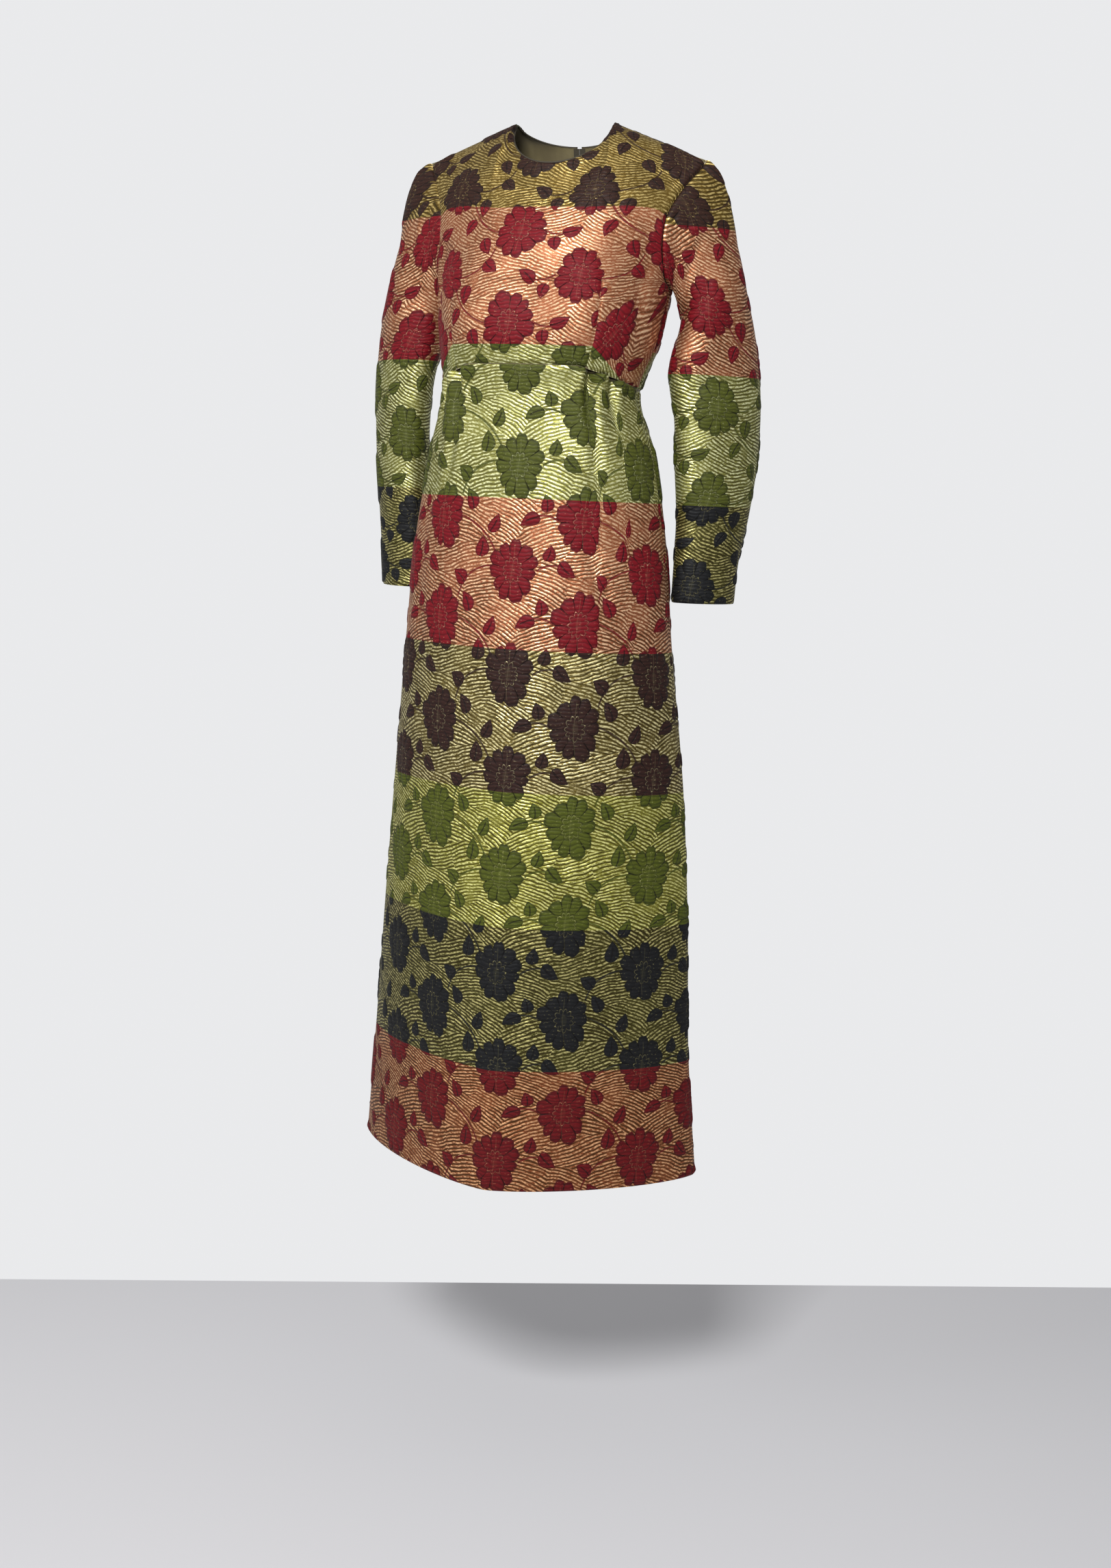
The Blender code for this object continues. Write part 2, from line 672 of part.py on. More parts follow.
def zip_line(bodice_left, bodice_right, skirt_left, skirt_right):
    """Points of the outer cloth along the middle of the centre back opening, from the neck down."""
    line = []
    for left, right in list(zip(bodice_left, bodice_right)) + list(zip(skirt_left, skirt_right))[1:]:
        line.append((left[-1] + right[0]) / 2)
    return line


def square_out(along):
    """The outward direction square to a direction that runs down the centre back."""
    return Vector((0.0, -along.z, along.y)).normalized()


def make_zip_chain(line):
    """A thin strip for the closed teeth, tapered where the opening shuts."""
    first = (line[2] - line[1]).normalized()
    spine = [line[1] + first * (SLIDER_DOWN + POST_LENGTH + SEAM_GAP)]
    spine += [point for point in line[2:] if point.z > ZIP_END_Z]
    widths = [ZIP_HALF_WIDTH] * len(spine)
    shut = line[len(spine) + 1]
    spine.append(spine[-1].lerp(shut, CHAIN_TAPER))
    widths.append(ZIP_HALF_WIDTH * (1 - CHAIN_TAPER))
    points = []
    for index, (point, half) in enumerate(zip(spine, widths)):
        along = spine[min(len(spine) - 1, index + 1)] - spine[max(0, index - 1)]
        out = square_out(along)
        sink = (WALL - ZIP_THICKNESS) / 2
        for x, depth in ((-half, sink), (half, sink), (half, sink + ZIP_THICKNESS), (-half, sink + ZIP_THICKNESS)):
            points.append(point + Vector((x, 0.0, 0.0)) - out * depth)
    faces = [(0, 3, 2, 1)]
    for index in range(len(spine) - 1):
        a = index * 4
        for corner in range(4):
            following = (corner + 1) % 4
            faces.append((a + corner, a + following, a + 4 + following, a + 4 + corner))
    end = len(points) - 4
    faces.append((end, end + 1, end + 2, end + 3))
    mesh_object("zip_chain", points, faces, BRASS, 0.35, 1.0)


def profile_solid(name, corners, half_width, place):
    """Extrudes a profile, given as distances down and out, across its half width on both sides."""
    count = len(corners)
    points = [place(x, down, out) for x in (-half_width, half_width) for down, out in corners]
    faces = [tuple(range(count)), tuple(range(2 * count - 1, count - 1, -1))]
    for index in range(count):
        following = (index + 1) % count
        faces.append((index, index + count, following + count, following))
    return mesh_object(name, points, faces, BRASS, 0.3, 1.0)


def unite(first, second):
    """Joins the second solid into the first."""
    joining = first.modifiers.new("join", "BOOLEAN")
    joining.operation = "UNION"
    joining.solver = "EXACT"
    joining.object = second
    graph = bpy.context.evaluated_depsgraph_get()
    mesh = bpy.data.meshes.new_from_object(first.evaluated_get(graph))
    first.modifiers.remove(joining)
    first.data = mesh
    bpy.data.objects.remove(second, do_unlink=True)


def make_zip_slider(line):
    """The slider with its bridge, and the pull tab that hangs from the bridge."""
    along = (line[2] - line[1]).normalized()
    out = square_out(along)
    start = line[1] + along * SLIDER_DOWN
    along = Vector((0.0, along.y, along.z)).normalized()

    def place(x, down, height):
        return start + Vector((x, 0.0, 0.0)) + along * down + out * height

    under = -WALL
    body = ((0.0, PLATE), (SLIDER_LENGTH, PLATE), (SLIDER_LENGTH, 0.0), (POST_LENGTH, 0.0),
            (POST_LENGTH, under), (SLIDER_LENGTH, under), (SLIDER_LENGTH, under - PLATE), (0.0, under - PLATE))
    slider = profile_solid("zip_slider", body, SLIDER_HALF_WIDTH, place)
    middle = SLIDER_LENGTH / 2
    near = BRIDGE_HALF_OPENING
    far = near + BRIDGE_THICKNESS
    foot = PLATE * 0.8
    clear = PLATE + BRIDGE_HEIGHT
    top = clear + BRIDGE_THICKNESS
    arch = ((middle - far, foot), (middle - far, top), (middle + far, top), (middle + far, foot),
            (middle + near, foot), (middle + near, clear), (middle - near, clear), (middle - near, foot))
    unite(slider, profile_solid("bridge", arch, BRIDGE_HALF_WIDTH, place))
    axis = PLATE + BRIDGE_HEIGHT / 2
    half = PULL_THICKNESS / 2
    rim, wide, corner = half, PULL_HALF_WIDTH, PULL_HALF_WIDTH * 0.6
    outer = ((-wide, -rim), (wide, -rim), (wide, EYE_LENGTH), (wide, PULL_LENGTH - corner),
             (corner, PULL_LENGTH), (-corner, PULL_LENGTH), (-wide, PULL_LENGTH - corner), (-wide, EYE_LENGTH))
    eye = EYE_HALF_WIDTH
    hole = ((-eye, rim), (eye, rim), (eye, EYE_LENGTH * 0.7), (eye, EYE_LENGTH),
            (eye / 2, EYE_LENGTH), (-eye / 2, EYE_LENGTH), (-eye, EYE_LENGTH), (-eye, EYE_LENGTH * 0.7))
    points = [place(x, middle + down, axis + height) for height in (half, -half)
              for loop in (outer, hole) for x, down in loop]
    faces = []
    for index in range(8):
        k = (index + 1) % 8
        faces.append((index, k, k + 8, index + 8))
        faces.append((index + 16, index + 24, k + 24, k + 16))
        faces.append((index, index + 16, k + 16, k))
        faces.append((index + 8, k + 8, k + 24, index + 24))
    mesh_object("zip_pull", points, faces, BRASS, 0.3, 1.0)


def main():
    for old in list(bpy.data.objects):
        bpy.data.objects.remove(old, do_unlink=True)
    front = make_bodice_front()
    back_left = make_bodice_back(1)
    back_right = make_bodice_back(-1)
    make_skirt_front()
    skirt_left = make_skirt_back(1)
    skirt_right = make_skirt_back(-1)
    make_sleeve(1, front, back_left)
    make_sleeve(-1, front, back_right)
    line = zip_line(back_left, back_right, skirt_left, skirt_right)
    make_zip_chain(line)
    make_zip_slider(line)


main()
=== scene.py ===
# Looks of the long brocade dress: cloth shells, seams, zip, floor, light and camera
import math

import bmesh
import bpy
import numpy as np
from mathutils import Matrix, Vector


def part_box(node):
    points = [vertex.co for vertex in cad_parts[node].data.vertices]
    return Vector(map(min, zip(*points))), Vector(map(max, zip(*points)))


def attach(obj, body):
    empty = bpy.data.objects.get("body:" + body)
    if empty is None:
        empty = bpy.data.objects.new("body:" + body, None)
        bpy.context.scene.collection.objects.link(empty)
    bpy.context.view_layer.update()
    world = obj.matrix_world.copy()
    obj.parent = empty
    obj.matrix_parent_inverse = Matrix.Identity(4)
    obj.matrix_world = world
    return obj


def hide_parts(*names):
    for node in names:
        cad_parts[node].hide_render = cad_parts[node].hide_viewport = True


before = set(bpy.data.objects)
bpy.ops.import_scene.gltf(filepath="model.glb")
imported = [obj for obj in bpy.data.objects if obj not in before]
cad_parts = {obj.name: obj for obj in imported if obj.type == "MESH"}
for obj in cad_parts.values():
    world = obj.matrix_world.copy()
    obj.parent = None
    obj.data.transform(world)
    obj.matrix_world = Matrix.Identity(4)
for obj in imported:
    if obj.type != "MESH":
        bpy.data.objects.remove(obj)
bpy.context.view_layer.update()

# The form of the worn dress, in metres, the same as the part's
form = {
    "wall": 0.0018,
    "halfGap": 0.00015,
    "hemZ": -1.433,
    "neckHalf": 0.070,
    "neckFrontDrop": 0.060,
    "neckBackDrop": 0.020,
    "neckFrontReach": 0.070,
    "neckBackReach": 0.058,
    "shoulderHalf": 0.192,
    "shoulderDrop": 0.048,
    "underarmZ": -0.216,
    "seamFrontZ": -0.3235,
    "seamSideZ": -0.3485,
    "seamFlatHalf": 0.40,
    "chestRounding": 0.085,
    "bustZ": -0.243,
    "bustX": 0.086,
    "bustSize": 0.013,
    "bustWidth": 0.055,
    "bustHeight": 0.070,
    "zipHalf": 0.0033,
    "zipEndZ": -0.550,
}

# z, middle, side y, half width, front, back, front power, back power
levels = np.array((
    (-1.433, -0.004, 0.015, 0.251, 0.184, 0.115, 1.38, 1.80),
    (-1.256, -0.005, 0.004, 0.236, 0.168, 0.118, 1.40, 1.80),
    (-1.066, -0.002, -0.008, 0.225, 0.153, 0.120, 1.45, 1.80),
    (-0.877, -0.001, -0.020, 0.210, 0.136, 0.121, 1.60, 1.85),
    (-0.686, -0.005, -0.030, 0.190, 0.120, 0.120, 1.75, 1.90),
    (-0.561, -0.006, -0.033, 0.178, 0.109, 0.118, 1.90, 2.00),
    (-0.431, -0.005, -0.039, 0.156, 0.096, 0.098, 2.10, 2.10),
    (-0.356, -0.009, -0.040, 0.136, 0.090, 0.090, 2.20, 2.20),
    (-0.286, -0.003, -0.031, 0.150, 0.106, 0.106, 2.25, 2.20),
    (-0.216, -0.003, -0.020, 0.161, 0.110, 0.105, 2.20, 2.20),
))

# z, x, front y, back y
armhole = np.array((
    (-0.216, 0.161, -0.020, -0.020),
    (-0.207, 0.1585, -0.037, 0.008),
    (-0.187, 0.157, -0.048, 0.040),
    (-0.155, 0.156, -0.053, 0.057),
    (-0.121, 0.159, -0.047, 0.053),
    (-0.079, 0.173, -0.028, 0.034),
    (-0.048, 0.192, 0.000, 0.000),
))

# z, front y, back y
centres = np.array((
    (-0.286, -0.137, 0.075),
    (-0.216, -0.132, 0.085),
    (-0.171, -0.124, 0.088),
    (-0.131, -0.107, 0.087),
    (-0.091, -0.088, 0.080),
    (-0.051, -0.072, 0.070),
    (0.000, -0.056, 0.056),
))

# Columns of the part's panels, as shares of half a section, and which of them end on the neck
frontStops = np.array((0.0, 0.1, 0.2, 0.3, 0.4, 0.46, 0.5, 0.54, 0.6, 0.65, 0.69, 0.73, 0.82, 0.91, 1.0))
backStops = np.linspace(0.0, 1.0, 12)
neckColumns = 5


def addObject(name, data):
    made = bpy.data.objects.new(name, data)
    bpy.context.scene.collection.objects.link(made)
    return made


def mix(a, b, share):
    return a + (b - a) * share


def ease(value):
    value = np.clip(value, 0.0, 1.0)
    return value * value * (3 - 2 * value)


def bump1d(distance, width):  # a soft ridge of height 1
    return np.exp(-(distance / width) ** 2)


def unit(vectors):
    return vectors / np.maximum(np.linalg.norm(vectors, axis=-1, keepdims=True), 1e-12)


def hermite(share, low, slopeLow, high, slopeHigh):  # a curve between two points with given slopes
    square, cube = share ** 2, share ** 3
    return ((2 * cube - 3 * square + 1) * low + (cube - 2 * square + share) * slopeLow
            + (3 * square - 2 * cube) * high + (cube - square) * slopeHigh)


def tableAt(rows, z):  # reads a table at heights, smoothly between its rows
    heights = rows[:, 0]
    z = np.clip(z, heights[0], heights[-1])
    low = np.clip(np.searchsorted(heights, z, side="right") - 1, 0, len(rows) - 2)
    high = low + 1
    before = np.maximum(low - 1, 0)
    after = np.minimum(high + 1, len(rows) - 1)
    span = heights[high] - heights[low]
    share = ((z - heights[low]) / span)[..., None]
    slopeLow = (rows[high] - rows[before]) * (span / (heights[high] - heights[before]))[..., None]
    slopeHigh = (rows[after] - rows[low]) * (span / (heights[after] - heights[low]))[..., None]
    return hermite(share, rows[low], slopeLow, rows[high], slopeHigh)


def shoulderZ(x):
    fall = form["shoulderDrop"] / (form["shoulderHalf"] - form["neckHalf"])
    return -(np.abs(x) - form["neckHalf"]) * fall


def seamZ(share, isFront):
    if not isFront:
        return np.full(np.shape(share), form["seamSideZ"])
    beyond = np.maximum(0.0, np.abs(share) - form["seamFlatHalf"]) / (1 - form["seamFlatHalf"])
    return mix(form["seamFrontZ"], form["seamSideZ"], beyond ** 0.8)


def bodyPoint(share, z, isFront):  # outer cloth at a height, share -1 to 1 between the sides
    share = np.clip(share, -1.0, 1.0)
    level = tableAt(levels, z)
    edge = tableAt(armhole, z)
    centre = tableAt(centres, z)
    above = z > form["underarmZ"]
    halfWidth = np.where(above, edge[..., 1], level[..., 3])
    sideY = np.where(above, edge[..., 2 if isFront else 3], level[..., 2])
    lowCentre = level[..., 2] - level[..., 4] if isFront else level[..., 2] + level[..., 5]
    centreY = np.where(above, centre[..., 1 if isFront else 2], lowCentre)
    middle = level[..., 1] * np.where(above, ease(z / form["underarmZ"]), 1.0)
    power = level[..., 6 if isFront else 7]
    roundPart = (1 - np.abs(share) ** power) ** (1 / power)
    flatPart = 1 - np.abs(share) ** 2.3
    shape = mix(roundPart, flatPart, ease((z - form["underarmZ"] + 0.02) / 0.07))
    x = middle + share * halfWidth
    y = mix(sideY, centreY, shape)
    if isFront:
        near = ((np.abs(x) - form["bustX"]) / form["bustWidth"]) ** 2
        near = near + ((z - form["bustZ"]) / form["bustHeight"]) ** 2
        y = y - form["bustSize"] * np.exp(-near) * (1 - np.abs(share) ** 4)
    return x, y


def sectionTable(isFront):  # shares of the half width at even steps along each section, and lengths
    z = np.linspace(form["hemZ"], form["underarmZ"], 260)
    share = np.linspace(0.0, 1.0, 181)
    x, y = bodyPoint(share[None, :], z[:, None] + 0 * share[None, :], isFront)
    steps = np.hypot(np.diff(x, axis=1), np.diff(y, axis=1))
    run = np.concatenate((np.zeros((len(z), 1)), np.cumsum(steps, axis=1)), axis=1)
    arcs = np.linspace(0.0, 1.0, 161)
    return np.array([np.interp(arcs * line[-1], line, share) for line in run]), run[:, -1]


sections = {True: sectionTable(True), False: sectionTable(False)}


def shareAt(arc, z, isFront):  # share of the half width, and the half section's length
    shares, lengths = sections[isFront]
    z = np.clip(z, form["hemZ"], form["underarmZ"])
    row = (z - form["hemZ"]) / (form["underarmZ"] - form["hemZ"]) * (len(lengths) - 1)
    low = np.clip(row.astype(int), 0, len(lengths) - 2)
    column = np.abs(arc) * (shares.shape[1] - 1)
    left = np.clip(column.astype(int), 0, shares.shape[1] - 2)
    up, side = row - low, column - left
    lower = mix(shares[low, left], shares[low, left + 1], side)
    upper = mix(shares[low + 1, left], shares[low + 1, left + 1], side)
    return np.copysign(mix(lower, upper, up), arc), mix(lengths[low], lengths[low + 1], up)


# The woven pattern, in metres across and down from the first blossom of a repeat
pattern = {
    "wide": 0.203,
    "high": 0.134,
    "edge": 0.0005,
    "fray": 0.0016,
    "puff": 0.0017,
    # width of the painted shade at the rims of the blossoms
    "paintedShadeWidth": 0.0065,
    "rimDepth": 0.16,
    "rimPower": 1.6,
    "rimWaves": (0.06, 0.04),
    "petalSwing": (0.45, 0.25),
    "ring": 0.31,
    "ringSwing": 0.12,
    "eyeThreads": 5200.0,
    "leafPuff": 0.0011,
    "leafEdge": 0.0045,
    "leafBend": 0.16,
    "leafPeak": 1.089,
    "stemHalf": 0.0012,
    "stemBlur": 0.0004,
    # across, down, half width, half height, petals, turn
    "blossoms": (
        (0.0000, 0.0000, 0.0330, 0.0415, 11, 0.35),
        (0.0905, 0.0670, 0.0345, 0.0430, 11, 1.25),
    ),
    # across, down, length, width, direction of the tip in degrees (0 right, 90 down)
    "leaves": (
        (0.0490, -0.0240, 0.0220, 0.0180, -75),
        (0.0715, -0.0010, 0.0290, 0.0195, 40),
        (0.1240, 0.0100, 0.0245, 0.0215, -140),
        (0.1375, 0.0425, 0.0285, 0.0195, -115),
        (0.0415, 0.0455, 0.0225, 0.0185, -100),
        (0.0185, 0.0670, 0.0290, 0.0185, 155),
        (0.1750, 0.0735, 0.0275, 0.0175, -65),
        (0.1580, 0.1040, 0.0285, 0.0210, -85),
    ),
    # from across, down, to across, down, and how far the line bows to its left
    "stems": (
        (-0.0310, -0.0050, -0.0820, 0.0385, -0.0115),
        (0.1225, 0.0650, 0.1820, 0.1230, 0.0105),
        (0.0320, 0.0000, 0.0600, -0.0080, 0.0030),
        (0.0285, 0.0625, 0.0580, 0.0680, 0.0035),
    ),
}


# Heights at which each next half repeat lies on the worn pieces, from the first
rowsDown = {
    "skirt": (0.0, (0.3235, 0.3850, 0.4530, 0.5230, 0.5895, 0.6570, 0.7260, 0.7940, 0.8625, 0.9250, 0.9960, 1.0580,
                    1.1290, 1.1910, 1.2620, 1.3210, 1.3925, 1.4600)),
    "bodice": (-1.0, (0.0290, 0.0875, 0.1490, 0.2080, 0.2700, 0.3320)),
    "sleeve": (0.0, (0.0450, 0.1090, 0.1740, 0.2383, 0.3030, 0.3670, 0.4280, 0.4890, 0.5460, 0.6030, 0.6600)),
}


def warpDown(down, kind):  # height on the worn piece to length of cloth
    first, rows = rowsDown[kind]
    cloth = (first + np.arange(len(rows))) * pattern["high"] / 2
    before = cloth[0] + (down - rows[0]) * (cloth[1] - cloth[0]) / (rows[1] - rows[0])
    after = cloth[-1] + (down - rows[-1]) * (cloth[-1] - cloth[-2]) / (rows[-1] - rows[-2])
    inside = np.interp(down, rows, cloth)
    return np.where(down < rows[0], before, np.where(down > rows[-1], after, inside))


# Bodice and sleeves are cut with the cloth the other way up: their rows, their first blossom across and down,
# and the length of cloth above it
turned = {
    "bodice": ("bodice", 0.070, 0.0, 0.0),
    "sleeveLeft": ("sleeve", -0.070, 0.0, 0.067),
    "sleeveRight": ("sleeve", 0.100, 0.048, 0.067),
}


def turnedCloth(across, down, kind):
    rows, middle, late, first = turned[kind]
    return np.stack((middle - across, first - warpDown(down - late, rows)), axis=-1)


def clothDown(down, kind):
    return turnedCloth(down, down, kind)[..., 1] if kind in turned else warpDown(down, kind)


def wrapped(value, size):
    return value - size * np.round(value / size)


def reliefAt(across, down):  # how far the woven blossoms and leaves stand out
    height = np.zeros(np.shape(across))
    petalSwing, rimWaves = pattern["petalSwing"], pattern["rimWaves"]
    for x0, y0, halfWide, halfHigh, petals, turn in pattern["blossoms"]:
        x = wrapped(across - x0, pattern["wide"]) / halfWide
        y = wrapped(down - y0, pattern["high"]) / halfHigh
        reach = np.hypot(x, y)
        angle = np.arctan2(y, x)
        swing = petalSwing[0] * np.sin(2 * angle + turn) + petalSwing[1] * np.sin(3 * angle - turn)
        notch = np.abs(np.cos(petals / 2 * angle + turn + swing))
        lobe = np.abs(np.sin(petals / 2 * angle + turn + swing))
        rim = 1 - pattern["rimDepth"] * (1 - lobe) ** pattern["rimPower"]
        rim = rim - rimWaves[0] * np.sin(3 * angle + turn) - rimWaves[1] * np.sin(5 * angle)
        ring = pattern["ring"] + pattern["ringSwing"] * notch
        dome = ease((rim - reach) / 0.22)
        groove = notch ** 14 * ease((reach - ring) / 0.3) + 0.35 * bump1d(reach - ring, 0.05)
        height = np.maximum(height, pattern["puff"] * dome * (1 - 0.75 * np.minimum(groove, 1.0)))
    for x0, y0, length, width, heading in pattern["leaves"]:
        x = wrapped(across - x0, pattern["wide"])
        y = wrapped(down - y0, pattern["high"])
        a = math.radians(heading)
        along = (x * math.cos(a) + y * math.sin(a)) * 2 / length
        beside = (-x * math.sin(a) + y * math.cos(a)) * 2 / length
        inside = np.clip(along, -1, 1)
        half = width / length * np.sqrt(1 + inside) * (1 - inside) / pattern["leafPeak"]
        near = (half - np.abs(beside + pattern["leafBend"] * along ** 2)) * length / 2
        height = np.maximum(height, pattern["leafPuff"] * ease(near / pattern["leafEdge"]))
    return height


def gridNormals(grid, closed):  # outward directions at the points of a grid
    if closed:
        right = np.roll(grid, -1, axis=1)
        left = np.roll(grid, 1, axis=1)
    else:
        right = np.concatenate((grid[:, 1:], grid[:, -1:]), axis=1)
        left = np.concatenate((grid[:, :1], grid[:, :-1]), axis=1)
    above = np.concatenate((grid[:1], grid[:-1]))
    below = np.concatenate((grid[1:], grid[-1:]))
    return unit(np.cross(right - left, above - below))


def runs(grid, axis):  # distances from the first row or column along the cloth
    steps = np.linalg.norm(np.diff(grid, axis=axis), axis=2)
    zero = np.zeros_like(np.take(steps, [0], axis=axis))
    return np.concatenate((zero, np.cumsum(steps, axis=axis)), axis=axis)


def clothSteps(length, step, fineStart=True, fineEnd=True):  # shares 0 to 1, closer at the seams
    fine = (0.0, 0.0008, 0.0017, 0.0028, 0.0042)
    start = np.array(fine if fineStart else (0.0,))
    end = length - np.array(fine if fineEnd else (0.0,))[::-1]
    count = max(2, int(round((end[0] - start[-1]) / step)))
    middle = np.linspace(start[-1], end[0], count + 1)[1:-1]
    return np.concatenate((start, middle, end)) / length


def keptEvery(count, stride):  # every few rows for the plain inside, with both ends
    kept = list(range(0, count - 1, stride))
    if count - 1 - kept[-1] < stride / 2 and len(kept) > 2:
        kept.pop()
    return kept + [count - 1]


def shellMesh(name, outer, inner, place, closed, after=None, stride=3):  # a closed wall of cloth
    after = place if after is None else after  # places as the faces right of each column see them
    rows, columns = outer.shape[:2]
    keptRows = keptEvery(rows, stride)
    keptColumns = list(range(0, columns, stride)) if closed else keptEvery(columns, stride)
    points = np.concatenate((outer.reshape(-1, 3), inner[np.ix_(keptRows, keptColumns)].reshape(-1, 3)))
    base = rows * columns
    wide = len(keptColumns)
    faces = []
    corners = []  # place on the cloth of every face corner
    slots = []

    def addQuads(rowList, columnList, first, inside):
        width = len(columnList)
        i, j = np.meshgrid(np.arange(len(rowList) - 1), np.arange(width if closed else width - 1), indexing="ij")
        k = (j + 1) % width
        a, b = first + i * width + j, first + (i + 1) * width + j
        c, d = first + (i + 1) * width + k, first + i * width + k
        rowAt, columnAt = np.array(rowList), np.array(columnList + [columns])
        pa, pb = after[rowAt[i], columnAt[j]], after[rowAt[i + 1], columnAt[j]]
        pc, pd = place[rowAt[i + 1], columnAt[j + 1]], place[rowAt[i], columnAt[j + 1]]
        quads, spots = ((a, d, c, b), (pa, pd, pc, pb)) if inside else ((a, b, c, d), (pa, pb, pc, pd))
        faces.extend(np.stack(quads, axis=-1).reshape(-1, 4).tolist())
        corners.append(np.stack(spots, axis=-2).reshape(-1, 2))
        slots.extend([int(inside)] * i.size)

    def addRims(cells, kept, insideAt, flip):  # joins an edge of the outside, cell by cell, to the inside
        for index, (first, last) in enumerate(zip(kept[:-1], kept[1:])):
            part = cells[first:last + 1]
            ring = [insideAt(index), insideAt(index + 1)] + [r * columns + c % columns for r, c in part[::-1]]
            where = [place[part[0]], place[part[-1]]] + [place[cell] for cell in part[::-1]]
            faces.append(ring[::-1] if flip else ring)
            corners.append(np.array(where[::-1] if flip else where))
            slots.append(0)

    addQuads(list(range(rows)), list(range(columns)), 0, False)
    addQuads(keptRows, keptColumns, base, True)
    around = keptColumns + [columns] if closed else keptColumns
    for row, keptRow in ((0, 0), (rows - 1, len(keptRows) - 1)):
        addRims([(row, column) for column in range(columns + 1)], around,
                lambda index: base + keptRow * wide + index % wide, row > 0)
    for column, keptColumn in () if closed else ((0, 0), (columns - 1, wide - 1)):
        addRims([(row, column) for row in range(rows)], keptRows,
                lambda index: base + index * wide + keptColumn, column == 0)
    mesh = bpy.data.meshes.new(name)
    mesh.from_pydata(points, [], faces)
    layer = mesh.uv_layers.new(name="cloth")
    layer.data.foreach_set("uv", np.concatenate(corners).astype(np.float32).ravel())
    mesh.polygons.foreach_set("material_index", np.array(slots, dtype=np.int32))
    mesh.shade_smooth()
    mesh.set_sharp_from_angle(angle=math.radians(62))
    mesh.validate()
    return addObject(name, mesh)


def seamDip(distance, depth=0.0011, width=0.0021):  # the cloth turns in at a seam
    return -depth * bump1d(distance, width)


bodiceForm = {"neck": 26, "step": 0.0029, "shoulder": 0.125, "length": 0.30, "evenAt": 0.62, "lean": 0.05,
              "leanAt": 0.148}


def bodiceColumns(isFront):  # columns of half a bodice piece: share at the upper edge, and at the seam
    neckShare = form["neckHalf"] / form["shoulderHalf"]
    stops = frontStops if isFront else backStops
    beyond = len(stops) - 1 - neckColumns
    neck = np.linspace(0, neckColumns, bodiceForm["neck"] + 1)
    rest = neckColumns + beyond * clothSteps(bodiceForm["shoulder"], bodiceForm["step"], fineStart=False)[1:]
    column = np.concatenate((neck, rest))
    angle = np.minimum(column / neckColumns, 1.0) * math.pi / 2
    top = np.where(column <= neckColumns, neckShare * np.sin(angle),
                   mix(neckShare, 1.0, (column - neckColumns) / beyond))
    return top, np.interp(column, np.arange(len(stops)), stops)


def bodiceSurface(isFront, top, arcs, down):
    drop = form["neckFrontDrop"] if isFront else form["neckBackDrop"]
    reach = -form["neckFrontReach"] if isFront else form["neckBackReach"]
    top, arcs, down = np.broadcast_arrays(top[None, :], arcs[None, :], down[:, None])
    x = np.abs(top) * form["shoulderHalf"]
    roundOff = np.sqrt(np.maximum(0.0, 1 - (x / form["neckHalf"]) ** 2))
    onShoulder = x >= form["neckHalf"] - 1e-9
    highZ = np.where(onShoulder, shoulderZ(x), -drop * roundOff)
    topY = np.where(onShoulder, 0.0, reach * roundOff)
    z = mix(highZ, seamZ(arcs, isFront) + form["halfGap"], down)
    even = shareAt(arcs, z, isFront)[0]
    share = mix(top, even, ease(down / bodiceForm["evenAt"]))
    x, y = bodyPoint(share, z, isFront)
    rise = np.clip(1 - (highZ - z) / form["chestRounding"], 0, 1)
    turn = 1 - np.sqrt(1 - rise ** 2)
    x = mix(x, top * form["shoulderHalf"], turn)
    y = mix(y, topY, turn)
    outward = -1 if isFront else 1
    gap = form["halfGap"] * outward
    y = np.where((down == 0) & onShoulder, gap, y)
    y = np.where((np.abs(share) > 0.9999) & (z < form["underarmZ"] + 0.0003), y + gap, y)
    return np.stack((x, y, z), axis=-1)


def bodicePlaces(grid):  # across from the centre and down, in metres of cloth
    level = grid.copy()
    level[:, :, 2] = 0
    across = runs(level, 1)
    centre = np.argmin(np.abs(grid[:, :, 0]), axis=1)
    across = across - across[np.arange(len(grid)), centre][:, None]
    upright = grid.copy()
    upright[:, :, 0] = 0
    down = runs(upright, 0)
    return np.stack((across, down - down[-1:] - grid[-1:, :, 2]), axis=-1)


# Two tucks on each side of the skirt front: place, length, share of the depth
tucks = ((0.50, 0.13, 1.0), (0.68, 0.08, 0.8), (-0.52, 0.16, 1.0), (-0.69, 0.09, 0.6))
tuckForm = {"halfFront": 0.20, "width": 0.0078, "depth": 0.0105}


def tuckMove(arc, below):  # the cloth falls in beside a tuck's fold, and the fold stands out
    move = np.zeros(np.shape(arc))
    for place, length, depth in tucks:
        offset = (arc - place) * tuckForm["halfFront"] / tuckForm["width"]
        fade = np.clip(1 - below / length, 0, 1) ** 1.3
        inside = -bump1d(offset, 1.0) + 0.55 * bump1d(np.abs(offset) - 1.7, 1.0)
        move = move + tuckForm["depth"] * depth * fade * inside
    return move


skirtForm = {"step": 0.0030, "half": 0.30, "length": 1.09, "shift": 0.002, "lean": 0.011, "leanAt": 1.08,
             "leanOver": 0.22, "wave": 0.006, "waves": 3, "waveFrom": 0.6, "waveOver": 0.85}


